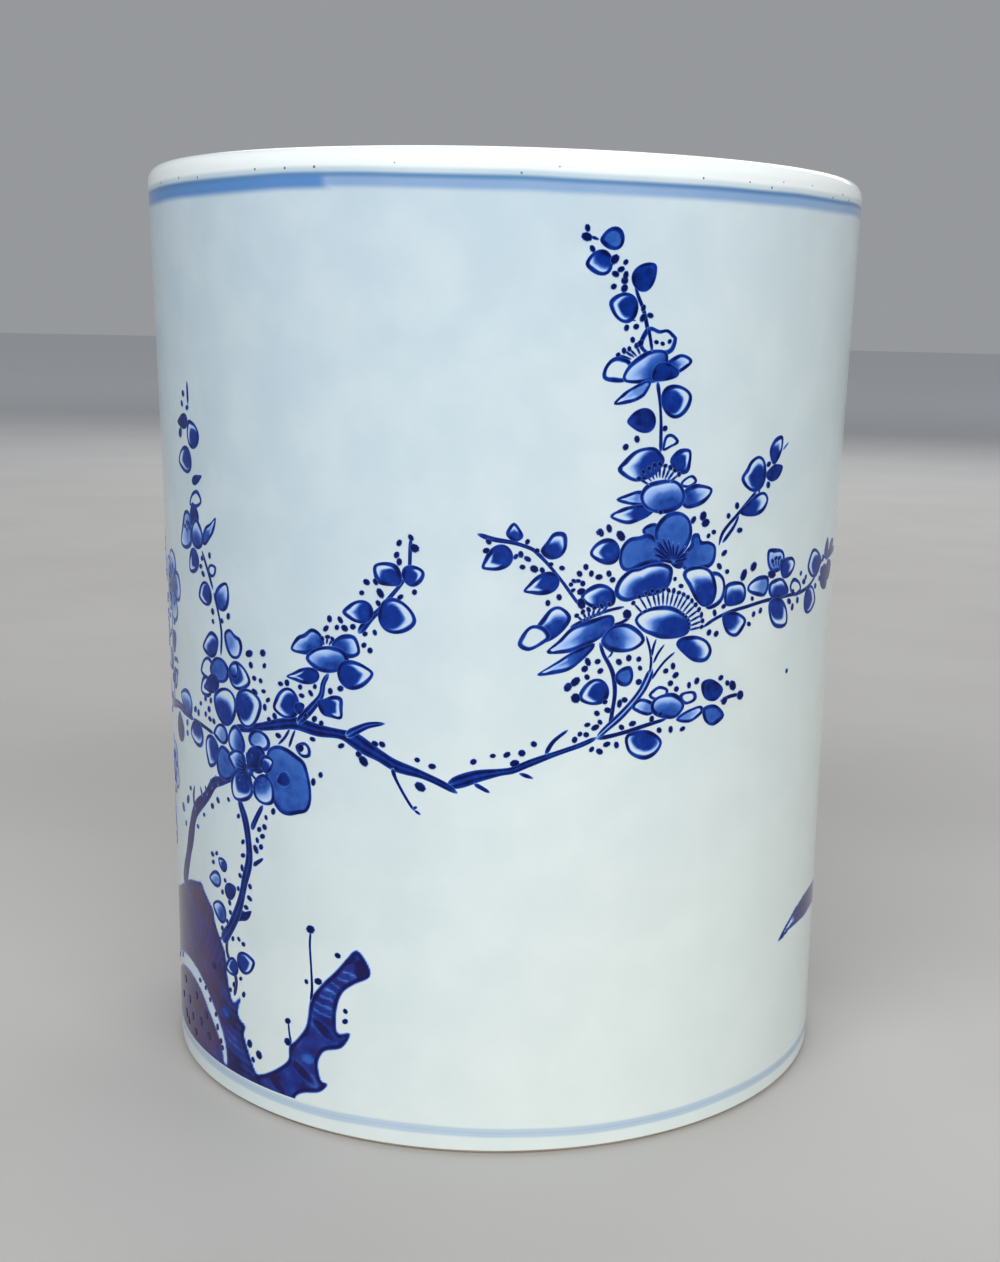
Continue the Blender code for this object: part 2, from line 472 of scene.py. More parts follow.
@dataclass
class PotShell:
    """The pot itself: the fired body, the glaze round its wall and the glaze in the recess of its base."""

    pot: PotShape
    segments: int = 288
    wall_steps: int = 30
    lip_steps: int = 14
    fillet_steps: int = 10
    fillet_clear: float = 0.004
    bevel: float = 0.0007
    bead: Spot = (0.00012, 0.00004)

    def outer_side(self, bottom: float, depth: float) -> list[Spot]:
        """Returns the outside, the lip and the inside down to the middle of the inner floor.

        Args:
            bottom: the height where the outside starts.
            depth: how far in from the glazed surface the points lie.

        Returns:
            Radius and height of each point, from the foot up, over the lip and down the inside.
        """
        pot = self.pot
        top = pot.height - pot.lip_round
        heights = [bottom + (top - bottom) * step / self.wall_steps for step in range(self.wall_steps + 1)]
        outside = [(float(pot.radius(height)) - depth, height) for height in heights]
        middle = pot.lip_radius - pot.wall / 2
        lip = arc((middle, top), (pot.wall / 2 - depth, pot.lip_round - depth), 0, 180, self.lip_steps)
        floor = pot.recess_depth + pot.floor - depth
        fillet = pot.floor_fillet
        inner = [float(pot.radius(height)) - pot.wall + depth for height in heights]
        lowest = floor + fillet + self.fillet_clear
        down = [(r, h) for r, h in zip(reversed(inner), reversed(heights)) if lowest < h < top]
        foot = float(pot.radius(floor + fillet)) - pot.wall + depth
        corner = arc((foot - fillet, floor + fillet), (fillet, fillet), 0, -90, self.fillet_steps)
        return [*outside, *lip[1:], *down, *corner, (foot * 0.45, floor), (0.0, floor)]

    def coat(self) -> bpy.types.Object:
        """Returns the glaze that wraps the outside, the lip, the inside and the inner floor."""
        edge = self.pot.glaze_edge
        skin = self.outer_side(edge, 0.0)
        back = self.outer_side(edge, self.pot.glaze)
        rounded = (skin[0][0] - self.bead[0], edge - self.bead[1])
        return turned("glaze_coat", [*reversed(skin), rounded, *back], self.segments)

    def body(self) -> bpy.types.Object:
        """Returns the fired clay under the glaze, with its foot ring and recess."""
        pot, bevel = self.pot, self.bevel
        depth = pot.glaze + pot.gap
        outer = float(pot.radius(0.0)) - depth
        inner = outer - pot.ring_width
        skin = self.outer_side(bevel, depth)
        under = [(inner - bevel, pot.recess_depth), (inner, pot.recess_depth - 0.002), (inner, bevel)]
        foot = [*under, (inner + bevel, 0.0), (outer - bevel, 0.0)]
        profile = [*reversed(skin), *reversed(foot), (0.0, pot.recess_depth)]
        return turned("fired_body", profile, self.segments)

    def base(self) -> bpy.types.Object:
        """Returns the glaze in the recess under the floor."""
        low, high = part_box("base_glaze")
        reach = high.x
        top, face, lip = high.z - 0.0003, high.z - 0.0008, low.z
        profile = [(0.0, face), (reach - 0.0030, face), (reach - 0.0012, face - 0.0007),
                   (reach - 0.0005, face - 0.0018), (reach - 0.0004, lip), (reach, lip + 0.0001),
                   (reach, face - 0.0016), (reach - 0.0008, face - 0.0002), (reach - 0.0027, top),
                   (0.0, top)]
        return turned("base_glaze_coat", profile, self.segments)

    def build(self, wall: bpy.types.Material, clay: bpy.types.Material, base: bpy.types.Material) -> None:
        """Builds the three pieces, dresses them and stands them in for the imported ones."""
        plan = ((self.coat(), "outer_glaze", "clear_glaze", wall),
                (self.body(), "porcelain_body", "bare_porcelain", clay),
                (self.base(), "base_glaze", "base_glaze", base))
        for piece, node, slot, finish in plan:
            smooth(piece, 35.0)
            piece.data.materials.append(finish)
            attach(piece, "root")
            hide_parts(node)
            LOG.info("%s: %d faces", piece.name, len(piece.data.polygons))


# ---------------------------------------------------------------- pigment


class Layer(Enum):
    """The groups of marks, each of which becomes one piece.

    The values are the piece's name, how far its first mark stands off the wall and how much further the next
    one does, in millimetres.
    """

    ROCK = ("painted_rock", 0.018, 0.003)
    BRANCH = ("painted_branches", 0.030, 0.001)
    PETAL = ("painted_petals", 0.064, 0.002)
    BACK_PETAL = ("painted_back_petals", 0.064, 0.002)
    STAMEN = ("painted_stamens", 0.132, 0.001)
    DOT = ("painted_dots", 0.166, 0.0)


class Wash(Enum):
    """How a petal is filled.

    The values are the pigment in its dark part, the pigment outside it, how far that part sits off centre,
    its size and how softly it ends.
    """

    BARE = (0.03, 0.03, 0.0, 0.5, 0.1)
    PALE = (0.38, 0.05, 0.90, 1.25, 0.50)
    MID = (0.58, 0.44, 0.50, 1.05, 0.45)
    SHADED = (0.65, 0.09, 1.00, 1.22, 0.52)
    DARK = (0.86, 0.62, 0.20, 0.85, 0.25)
    MOON = (0.77, 0.05, 0.30, 0.72, 0.12)
    HALF = (0.76, 0.04, 0.68, 0.98, 0.28)


@dataclass
class Blank:
    """A flat sheet of faces, modelled once. Each copy is bent to its own mark."""

    ring: np.ndarray
    place: np.ndarray
    faces: Faces


def read_blank(ring: Callable, place: Callable) -> Blank:
    """Reads the sheet in the active object, then removes it.

    Args:
        ring: gives each corner's first index from its x and y.
        place: gives each corner's second index from its x and y.

    Returns:
        The blank.
    """
    obj = bpy.context.object
    flat = np.array([corner.co[:2] for corner in obj.data.vertices])
    faces = [tuple(face.vertices) for face in obj.data.polygons]
    bpy.data.objects.remove(obj, do_unlink=True)
    x, y = flat[:, 0], flat[:, 1]
    return Blank(np.rint(ring(x, y)).astype(int), np.rint(place(x, y)).astype(int), faces)


def disc_blank(spokes: int, rings: int) -> Blank:
    """Models a disc of concentric rings: a filled circle, inset ring by ring, with its last face poked."""
    deselect()
    bpy.ops.mesh.primitive_circle_add(vertices=spokes, radius=rings, fill_type="NGON")
    bpy.ops.object.mode_set(mode="EDIT")
    bpy.ops.mesh.select_all(action="SELECT")
    for _ in range(rings - 1):
        bpy.ops.mesh.inset(thickness=math.cos(math.pi / spokes), depth=0.0)
    bpy.ops.mesh.poke()
    bpy.ops.object.mode_set(mode="OBJECT")
    return read_blank(np.hypot, lambda x, y: np.rint(np.arctan2(y, x) / math.tau * spokes) % spokes)


def grid_blank(rows: int, columns: int) -> Blank:
    """Models a plain grid, its rows along X and its columns across."""
    deselect()
    bpy.ops.mesh.primitive_grid_add(x_subdivisions=rows - 1, y_subdivisions=columns - 1, size=2.0)
    return read_blank(lambda x, y: (x + 1) / 2 * (rows - 1), lambda x, y: (y + 1) / 2 * (columns - 1))


def curve_through(spots: Sequence[Spot], closed: bool, spacing: float, least: int,
                  multiple: int = 1) -> np.ndarray:
    """Draws a smooth curve through some spots and divides it evenly.

    Args:
        spots: two or more values for each spot, of which the first two are its place.
        closed: whether the last spot joins the first.
        spacing: about how far apart the divisions are, in millimetres.
        least: the fewest divisions.
        multiple: the number of divisions is a multiple of this.

    Returns:
        A row of values for each division.
    """
    knots = np.array(spots, float)
    count = len(knots)
    after = np.roll(knots, -1, axis=0)
    before = np.roll(knots, 1, axis=0)
    if not closed:
        before[0], after[-1] = knots[0], knots[-1]
    slope = (after - before) / 2
    share = np.linspace(0, 1, 13)[:-1, None]
    pieces = []
    for index in range(count if closed else count - 1):
        ends = [index, (index + 1) % count]
        a, b = knots[ends]
        most = 1.3 * max(np.hypot(*(b - a)[:2]), 0.001)
        u, v = (lean * min(1.0, most / max(np.hypot(*lean[:2]), 0.001)) for lean in slope[ends])
        s2, s3 = share**2, share**3
        leaving = (2 * s3 - 3 * s2 + 1) * a + (s3 - 2 * s2 + share) * u
        pieces.append(leaving + (3 * s2 - 2 * s3) * b + (s3 - s2) * v)
    pieces.append(knots[:1] if closed else knots[-1:])
    fine = np.concatenate(pieces)
    run = np.concatenate([[0.0], np.cumsum(np.hypot(*np.diff(fine[:, :2], axis=0).T))])
    divisions = max(least, round(run[-1] / spacing))
    divisions = math.ceil(divisions / multiple) * multiple
    stops = np.linspace(0, run[-1], divisions + 1)[: divisions if closed else None]
    return np.stack([np.interp(stops, run, fine[:, axis]) for axis in range(fine.shape[1])], axis=1)


def unit(vectors: np.ndarray) -> np.ndarray:
    """Returns the vectors scaled to a length of 1."""
    return vectors / np.maximum(np.hypot(*vectors.T), LEAST_LENGTH)[:, None]


def wedges(edge: np.ndarray) -> np.ndarray:
    """Returns twice the signed area between the origin and each side of a closed edge."""
    after = np.roll(edge, -1, axis=0)
    return edge[:, 0] * after[:, 1] - after[:, 0] * edge[:, 1]


def swung(x: np.ndarray, y: np.ndarray, way: float) -> tuple[np.ndarray, np.ndarray]:
    """Returns places turned about the origin by an angle in radians."""
    return x * math.cos(way) - y * math.sin(way), x * math.sin(way) + y * math.cos(way)


def away(start: Spot, way: float, out: float, squash: float = 1.0) -> Spot:
    """Returns the place at a distance from a start, its direction in radians and its rise squashed."""
    return start[0] + out * math.cos(way), start[1] + out * squash * math.sin(way)


def soft_step(value: np.ndarray, low: float, high: float) -> np.ndarray:
    """Returns 0 at low and 1 at high, with a smooth slope between."""
    share = np.clip((value - low) / (high - low), 0.0, 1.0)
    return share * share * (3 - 2 * share)


def off_segment(s: np.ndarray, z: np.ndarray, start: Spot, end: Spot) -> tuple[np.ndarray, np.ndarray]:
    """Returns how far each place lies from a segment, and how far along the segment that is, from 0 to 1."""
    (a, b), (c, d) = start[:2], end[:2]
    along = ((s - a) * (c - a) + (z - b) * (d - b)) / max((c - a) ** 2 + (d - b) ** 2, 1e-9)
    along = np.clip(along, 0, 1)
    return np.hypot(s - a - along * (c - a), z - b - along * (d - b)), along


def inside_depth(s: np.ndarray, z: np.ndarray, outline: np.ndarray) -> np.ndarray:
    """Returns how deep each place lies inside a closed outline, in millimetres, negative outside."""
    nearest = np.full(s.shape, 1e9)
    inside = np.zeros(s.shape, bool)
    for (a, b), (c, d) in zip(outline[:, :2], np.roll(outline[:, :2], -1, axis=0)):
        nearest = np.minimum(nearest, off_segment(s, z, (a, b), (c, d))[0])
        if b != d:
            inside ^= ((b > z) != (d > z)) & (s < a + (z - b) * (c - a) / (d - b))
    return np.where(inside, nearest, -nearest)


def path_distance(s: np.ndarray, z: np.ndarray, path: np.ndarray) -> np.ndarray:
    """Returns how far each place lies outside a band along a path, whose third value is the band's width."""
    found = np.full(s.shape, 1e9)
    for start, end in zip(path[:-1], path[1:]):
        reach, along = off_segment(s, z, start, end)
        found = np.minimum(found, reach - (start[2] + along * (end[2] - start[2])) / 2)
    return found


@dataclass
class Marks:
    """The marks of one layer, gathered before they become one piece."""

    places: list[np.ndarray] = field(default_factory=list)
    pigment: list[np.ndarray] = field(default_factory=list)
    violet: list[np.ndarray] = field(default_factory=list)
    faces: Faces = field(default_factory=list)
    corners: int = 0


@dataclass
class Brush:
    """The painter's hand: it bends blanks to petals, strokes and dots and gathers them by layer.

    Its halo is the width of a mark's soft edge, its bleed is the pigment there, and its thread gives both for
    a stamen. A full turn of the wall is 2 pi round units. Lengths are in millimetres.
    """

    pot: PotShape
    hand: random.Random = field(default_factory=lambda: random.Random(7))
    layers: dict[Layer, Marks] = field(default_factory=lambda: {layer: Marks() for layer in Layer})
    blanks: dict[tuple, Blank] = field(default_factory=dict)
    order: Counter = field(default_factory=Counter)
    # How far a mark leans to violet: the pigment's own cast, and near the edges of the front in part a
    # painted reflection of warm surroundings.
    violet: float = 0.0
    halo: float = 0.10
    bleed: float = 0.42
    thread: Spot = (0.07, 0.55)
    petals: Layer = Layer.PETAL
    rings: int = 10
    most_lifts: int = 34
    round_unit: float = 90.0
    skin: float = 0.2

    def on_wall(self, s: np.ndarray, z: np.ndarray, lift: float) -> np.ndarray:
        """Returns places on the wall, in metres, from places on the painting, in millimetres."""
        angle = s / self.round_unit
        reach = self.pot.radius(z * MM) + lift * MM
        return np.stack([reach * np.sin(angle), -reach * np.cos(angle), z * MM], axis=1)

    def blank(self, kind: Callable, first: int, second: int) -> Blank:
        """Returns a blank, modelled the first time it is asked for."""
        key = (kind, first, second)
        if key not in self.blanks:
            self.blanks[key] = kind(first, second)
        return self.blanks[key]

    def lay(self, layer: Layer, blank: Blank, s: np.ndarray, z: np.ndarray, pigment: np.ndarray,
            violet: np.ndarray | None = None) -> None:
        """Adds one mark to a layer.

        Args:
            layer: the group of marks.
            blank: the sheet that is bent.
            s: the way round of each corner, in millimetres.
            z: the height of each corner, in millimetres.
            pigment: the pigment's strength at each corner.
            violet: how violet it is at each corner, or None for the brush's own.
        """
        marks = self.layers[layer]
        lift = layer.value[1] + layer.value[2] * (self.order[layer] % self.most_lifts)
        self.order[layer] += 1
        start = marks.corners
        marks.places.append(self.on_wall(s, z, lift))
        marks.pigment.append(np.clip(pigment, 0.0, 1.0))
        marks.violet.append(np.full(len(s), self.violet) if violet is None else violet)
        marks.faces.extend(tuple(start + corner for corner in face) for face in blank.faces)
        marks.corners += len(s)

    def fill(self, edge: np.ndarray, wash: Wash, facing: float, line: float, pen: float) -> None:
        """Lays a petal: a line round a closed edge and a wash inside it.

        Args:
            edge: the places along the edge.
            wash: how the inside is filled.
            facing: the direction of the light side, in degrees, 0 to the right and 90 up.
            line: the pigment of the line.
            pen: the width of the line, in millimetres.
        """
        spokes, rings = len(edge), self.rings
        edge = edge[:, :2]
        if wedges(edge).sum() < 0:
            edge = edge[::-1]
        after, before = np.roll(edge, -1, axis=0), np.roll(edge, 1, axis=0)
        wedge = wedges(edge)
        centre = ((edge + after) * wedge[:, None]).sum(axis=0) / (3 * wedge.sum())
        ray = edge - centre
        reach = np.hypot(*ray.T)
        tangent = after - before
        normal = unit(np.stack([tangent[:, 1], -tangent[:, 0]], axis=1))
        square = np.clip((ray * normal).sum(axis=1) / reach, 0.4, 1.0)
        # From the halo outside the edge to the inner side of the line, where the wash starts.
        wobble = 1 + 0.22 * np.sin(np.arange(spokes) / spokes * math.tau * 2 + self.hand.uniform(0, 6))
        deep = reach * square
        shares = [1 + self.halo / deep, np.ones(spokes)]
        for inward, most in ((pen * 0.45, 0.17), (pen, 0.32), (pen + 0.38, 0.46)):
            shares.append(1 - np.minimum(inward * wobble / deep, most))
        shares += [shares[4] * ring / (rings - 4) for ring in range(rings - 5, -1, -1)]
        shares = np.array(shares[::-1])
        blank = self.blank(disc_blank, spokes, rings)
        share = shares[blank.ring, blank.place]
        spot = centre + ray[blank.place] * share[:, None]
        # The wash: a soft-edged dark part that sits towards the petal's shaded side.
        dark, light, off, size, soft = wash.value
        heading = np.arctan2(ray[:, 1], ray[:, 0])[blank.place]
        way = math.radians(facing)
        x = share * np.cos(heading) + off * math.cos(way)
        y = share * np.sin(heading) + off * math.sin(way)
        inner = dark + (light - dark) * soft_step(np.hypot(x, y), size - soft, size + soft)
        # The line: its outer ring bleeds into the glaze, and its inner ones are never paler than the wash.
        strength = line * (0.9 + 0.1 * np.sin(heading * 3 + self.hand.uniform(0, 6)))
        rim = {rings: self.bleed, rings - 1: 0.80, rings - 2: 1.0, rings - 3: 0.92}
        pigment = inner.copy()
        for ring, share_of_line in rim.items():
            here = blank.ring == ring
            drawn = strength[here] * share_of_line
            pigment[here] = drawn if ring >= rings - 1 else np.maximum(drawn, inner[here])
        self.lay(self.petals, blank, spot[:, 0], spot[:, 1], pigment)

    def petal(self, wash: Wash, facing: float, *outline: Spot, line: float = 1.0, pen: float = 0.62) -> None:
        """Lays a petal whose outline goes through some spots."""
        self.fill(curve_through(outline, True, 0.75, 20, 4), wash, facing, line, pen)

    def bud(self, s: float, z: float, reach: float, tip: float, wash: Wash, facing: float,
            width: float = 0.86, line: float = 1.0) -> None:
        """Lays a bud: an egg with a small point.

        Args:
            s: the way round of its middle.
            z: the height of its middle.
            reach: half its length.
            tip: the direction of its point, in degrees.
            wash: how it is filled.
            facing: the direction of its light side.
            width: its width as a share of its length.
            line: the pigment of its line.
        """
        count = 24 if reach < 3 else 32
        turn = np.arange(count) / count * math.tau
        point = 0.04 + 0.9 * max(0.0, 0.93 - width)
        along = reach * (np.cos(turn) + point * np.clip(np.cos(turn), 0, 1) ** 9)
        across = reach * width * np.sin(turn) * (1 - 0.20 * np.cos(turn))
        x, y = swung(along, across, math.radians(tip))
        swell = 1 + 0.04 * np.sin(turn * 2 + self.hand.uniform(0, 6))
        self.fill(np.stack([s + x * swell, z + y * swell], axis=1), wash, facing, line, 0.58)

    def stroke(self, *route: Spot, layer: Layer = Layer.BRANCH, dark: float = 1.0, core: float = 0.92,
               width: float = 0.7) -> None:
        """Draws a stroke along a route.

        Args:
            route: the spots that it goes through, each with its width as a third value, or none.
            layer: the group of marks.
            dark: the pigment at its edges.
            core: the pigment along its middle.
            width: the width where a spot gives none.
        """
        knots = [(spot[0], spot[1], spot[2] if len(spot) > 2 else width) for spot in route]
        line = curve_through(knots, False, 0.9, 4, 4)
        rows = len(line)
        step = unit(np.gradient(line[:, :2], axis=0))
        side = np.stack([-step[:, 1], step[:, 0]], axis=1)
        blank = self.blank(grid_blank, rows, 7)
        ends = np.minimum(np.arange(rows), rows - 1 - np.arange(rows))
        half = line[:, 2] / 2 * np.interp(ends, [0, 1, 2], [0.25, 0.8, 1.0])
        half = half * (1 + 0.07 * np.sin(np.arange(rows) * 0.45 + self.hand.uniform(0, 6)))
        halo, edge = self.thread if layer is Layer.STAMEN else (self.halo, self.bleed)
        inner = [half * share for share in (-0.92, -0.5, 0.0, 0.5, 0.92)]
        offsets = np.stack([-half - halo, *inner, half + halo])
        tone = np.array([edge, 0.74 * dark, dark, core, dark, 0.74 * dark, edge])
        fade = np.interp(ends, [0, 1, 2], [edge, 0.85, 1.0])
        offset = offsets[blank.place, blank.ring]
        spot = line[blank.ring, :2] + side[blank.ring] * offset[:, None]
        self.lay(layer, blank, spot[:, 0], spot[:, 1], tone[blank.place] * fade[blank.ring])

    def dots(self, *spots: Spot) -> None:
        """Drops dots, each a little long and turned its own way. A third value is a dot's radius."""
        blank = self.blank(disc_blank, 8, 2)
        for spot in spots:
            size = spot[2] if len(spot) > 2 else self.hand.uniform(0.50, 0.68)
            way, long = self.hand.uniform(0, math.pi), self.hand.uniform(1.0, 1.35)
            reach = np.array([0.0, size * 0.86, size + self.halo])[blank.ring]
            turn = blank.place / 8 * math.tau
            bumpy = 1 + 0.12 * np.sin(turn * 2 + self.hand.uniform(0, 6))
            x, y = swung(reach * bumpy * np.cos(turn) * long, reach * bumpy * np.sin(turn), way)
            pigment = np.array([1.0, 1.0, self.bleed])[blank.ring]
            self.lay(Layer.DOT, blank, spot[0] + x, spot[1] + y, pigment)

    def stamens(self, root: Spot, *tips: Spot, width: float = 0.46, clear: float = 0.5) -> None:
        """Draws threads that point away from a root, each ending in a dot.

        Args:
            root: the place that they point away from.
            tips: where they end.
            width: their width.
            clear: how much of the way from the root is left clear.
        """
        for tip in tips:
            start = (root[0] + (tip[0] - root[0]) * clear, root[1] + (tip[1] - root[1]) * clear)
            self.stroke(start, tip, layer=Layer.STAMEN, dark=0.95, core=0.95, width=width)
            self.dots((tip[0], tip[1], 0.46))

    def sheet(self, corner: Spot, far: Spot, spacing: float,
              tone: Callable[[np.ndarray, np.ndarray], tuple[np.ndarray, np.ndarray]]) -> None:
        """Lays a broad wash on a fine sheet.

        Args:
            corner: its low left corner.
            far: its high right corner.
            spacing: the size of its faces.
            tone: gives the pigment and the violet at each place.
        """
        rows = round((far[0] - corner[0]) / spacing) + 1
        columns = round((far[1] - corner[1]) / spacing) + 1
        blank = self.blank(grid_blank, rows, columns)
        s = corner[0] + (far[0] - corner[0]) * blank.ring / (rows - 1)
        z = corner[1] + (far[1] - corner[1]) * blank.place / (columns - 1)
        pigment, violet = tone(s, z)
        self.lay(Layer.ROCK, blank, s, z, pigment, violet)

    def finish(self, material: bpy.types.Material) -> None:
        """Makes one closed piece of each layer and dresses it."""
        for layer, marks in self.layers.items():
            if not marks.places:
                continue
            name = layer.value[0]
            mesh = bpy.data.meshes.new(name)
            mesh.from_pydata(np.concatenate(marks.places).tolist(), [], marks.faces)
            for key, values in (("pigment", marks.pigment), ("violet", marks.violet)):
                attribute = mesh.attributes.new(key, "FLOAT", "POINT")
                attribute.data.foreach_set("value", np.concatenate(values).astype(np.float32))
            obj = bpy.data.objects.new(name, mesh)
            bpy.context.scene.collection.objects.link(obj)
            take(obj)
            skin = obj.modifiers.new("skin", "SOLIDIFY")
            skin.thickness = self.skin * MM
            skin.offset = -1.0
            bpy.ops.object.modifier_apply(modifier=skin.name)
            smooth(obj, 30.0)
            mesh.materials.append(material)
            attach(obj, "root")
            LOG.info("%s: %d faces", name, len(obj.data.polygons))


# ---------------------------------------------------------------- the painting


@dataclass
class PlumPainting:
    """A plum tree in blossom that grows from a rock at the left and spreads round the wall."""

    brush: Brush

    def paint(self) -> None:
        """Paints every part in order, from the ground up."""
        for part in (self.rock, self.stump, self.lower_branch, self.main_branch, self.stem_to_rock,
                     self.rock_sprig, self.left_cluster, self.tall_sprig, self.middle_sprig,
                     self.small_left_sprig, self.top_sprig, self.first_blossom, self.second_blossom,
                     self.open_blossom, self.fan_blossom, self.left_blossom, self.right_sprig,
                     self.far_sprig, self.stems, self.low_right_sprig, self.leaf, self.back):
            self.brush.order.clear()
            part()

    def rock(self) -> None:
        """The dark rock at the foot, with a bare winding stripe."""
        brush = self.brush
        edge = curve_through([(-150, 30), (-138, 38), (-125, 42), (-115, 45), (-105.6, 48.9), (-100, 51.4),
                              (-93.9, 52.8), (-91.1, 53.3), (-89.4, 51.7), (-86.1, 49.4), (-84.2, 47.8),
                              (-83.3, 44.4), (-80.6, 41.1), (-78.5, 38), (-77.8, 32.8), (-76.6, 28.4),
                              (-75, 26.1), (-71.7, 28.3), (-72.8, 25.6), (-72.8, 22.8), (-70, 21.1),
                              (-70.8, 18.9), (-69.4, 15.6), (-67.6, 12.4), (-65.8, 9.8), (-62, 10), (-61, 5),
                              (-90, 4), (-120, 4), (-150, 5), (-158, 14)], True, 1.0, 40)
        stripe = curve_through([(-150, 12, 2), (-138, 14, 3.4), (-125, 19, 3.8), (-115, 24.5, 4),
                                (-105, 27, 4), (-98, 26.8, 4.2), (-92, 24.8, 4.2), (-87, 21, 4.0),
                                (-83, 17, 3.6), (-80.2, 12.5, 2.8), (-79.4, 8.6, 2.0)], False, 1.5, 8)
        lower = curve_through([(-76.6, 45, 1.3), (-77.5, 39, 1.2), (-73.6, 33, 1.3), (-74.6, 28, 1.3)],
                              False, 1, 4)

        def tone(s: np.ndarray, z: np.ndarray) -> tuple[np.ndarray, np.ndarray]:
            """Returns the rock's pigment and violet."""
            depth = inside_depth(s, z, edge)
            body = soft_step(depth, -0.35, 0.45)
            broad = np.sin(s * 0.37 + np.sin(z * 0.5) * 1.7)
            low = np.sin(z * 3.1 + s * 0.9 + 2.2 * np.sin(s * 0.31)) * soft_step(-z, -34, -26)
            high = np.sin(s * 2.3 - z * 1.1 + 1.9 * np.sin(z * 0.27)) * soft_step(z, 28, 36)
            mottle = 0.86 + 0.09 * broad + 0.10 * (np.sin(z * 0.61 + s * 0.23) + low + high)
            rim = 0.24 * soft_step(-depth, -1.6, -0.5)
            bare = soft_step(path_distance(s, z, stripe), -0.5, 0.5)
            patch = soft_step(-np.hypot((s + 78.9) / 2.4, (z - 22.2) / 1.6), -1.5, -0.4)
            pigment = body * (mottle + rim) * (0.07 + 0.93 * bare) * (1 - 0.35 * patch)
            # More violet towards the left edge of the front: the pigment's cast, and in part a painted
            # reflection of warm surroundings.
            lean = soft_step(-s, 72, 90) * 0.75 + 0.2
            return pigment, np.clip(lean - 0.6 * patch - 1.2 * rim, 0, 1) * body

        brush.sheet((-160, 7.1), (-64.4, 54.6), 0.60, tone)
        brush.violet = 0.35
        brush.stroke(*[tuple(spot) for spot in lower], dark=1.0, core=0.95)
        brush.stroke((-83.9, 45.6, 0.6), (-81.1, 41.4, 0.6), (-77.6, 44.5, 0.7), (-76.1, 45, 0.6))
        brush.bleed = 0.8
        brush.dots((-93.6, 25.9), (-89.9, 25.1), (-87.1, 22.8), (-83.9, 19.9), (-83.1, 16.7), (-81.4, 13.4),
                   (-80.6, 11.9), (-103.9, 16.7, 1.0), (-108.9, 20.6, 1.1), (-93.9, 14.2, 0.9),
                   (-108.3, 11.1, 0.9), (-105.6, 10, 0.8), (-112, 26.5), (-120, 23.5), (-129, 18.5),
                   (-97, 20.4, 0.8), (-101, 13, 0.8), (-90, 17.6, 0.8), (-88.5, 12.2, 0.8),
                   (-112.5, 15, 0.9), (-98.5, 9.4, 0.8), (-84.6, 33, 0.9))
        brush.bleed = Brush.bleed
        brush.violet = Brush.violet

    def stump(self) -> None:
        """The young trunk that leans up to the right of the rock."""
        brush = self.brush
        left = [(-69, 5), (-68, 9.4), (-64, 10.1), (-60, 12.2), (-56.1, 15), (-54.2, 17.2), (-53.9, 20.6),
                (-52.2, 22.2), (-49.4, 25.6), (-48.3, 27.8), (-47.8, 30.6), (-47.2, 33.9), (-45.6, 36.7),
                (-42.8, 40), (-40, 42.8), (-36.7, 46.7), (-34.2, 49.2), (-31.7, 46.7), (-30.8, 43.3)]
        right = [(-35, 40.6), (-37.8, 38.3), (-39.4, 35), (-40, 30.6), (-39.4, 27.2), (-36.1, 27.8),
                 (-38.3, 23.9), (-42.8, 22.2), (-44.4, 20.6), (-45.3, 17.8), (-44.4, 13.9), (-42.5, 13.3),
                 (-45, 10.8), (-49.4, 9.6), (-52.2, 7.8), (-53.4, 5)]
        edge = curve_through([*left, *right], True, 0.8, 40)

        def tone(s: np.ndarray, z: np.ndarray) -> tuple[np.ndarray, np.ndarray]:
            """Returns the trunk's pigment and violet."""
            depth = inside_depth(s, z, edge)
            body = soft_step(depth, -0.35, 0.4)
            mottle = 0.77 + 0.07 * np.sin(s * 0.8 + z * 0.35) + 0.05 * np.sin(z * 1.3)
            rim = 0.40 * soft_step(-depth, -1.15, -0.60)
            cap = soft_step(np.hypot(s + 36.2, z - 47.2), 2.0, 1.2)
            cap = cap + soft_step(np.hypot(s + 32.2, z - 44.6), 3.1, 1.9)
            steep = z + 0.28 * (s + 42)
            hatch = soft_step(np.sin((steep - 30.4) * 2.75 + 0.5 * np.sin(s * 1.1)), 0.35, 1.0)
            hatch = hatch * soft_step(steep, 30, 31) * soft_step(-steep, -45.6, -44.6)
            hatch = hatch * soft_step(depth, 0.9, 1.5)
            patch = soft_step(-np.hypot((s + 47.8) / 2.2, (z - 18.9) / 1.6), -1.3, -0.4)
            knots = [np.hypot((s - a + (z - b) * 1.1) / 1.7, (z - b) / 2.1)
                     for a, b in ((-43.6, 27.4), (-49.6, 14.7), (-58.5, 9.4))]
            blot = sum(soft_step(-knot, -1.2, -0.7) for knot in knots)
            ring = sum(soft_step(-np.abs(knot - 1.45), -0.3, -0.1) for knot in knots[:2])
            tone = mottle + rim + 0.38 * blot + 0.4 * cap - 0.34 * hatch - 0.2 * patch - 0.14 * ring
            return body * tone, np.clip(0.22 - 0.2 * patch - 0.2 * rim, 0, 1) * body

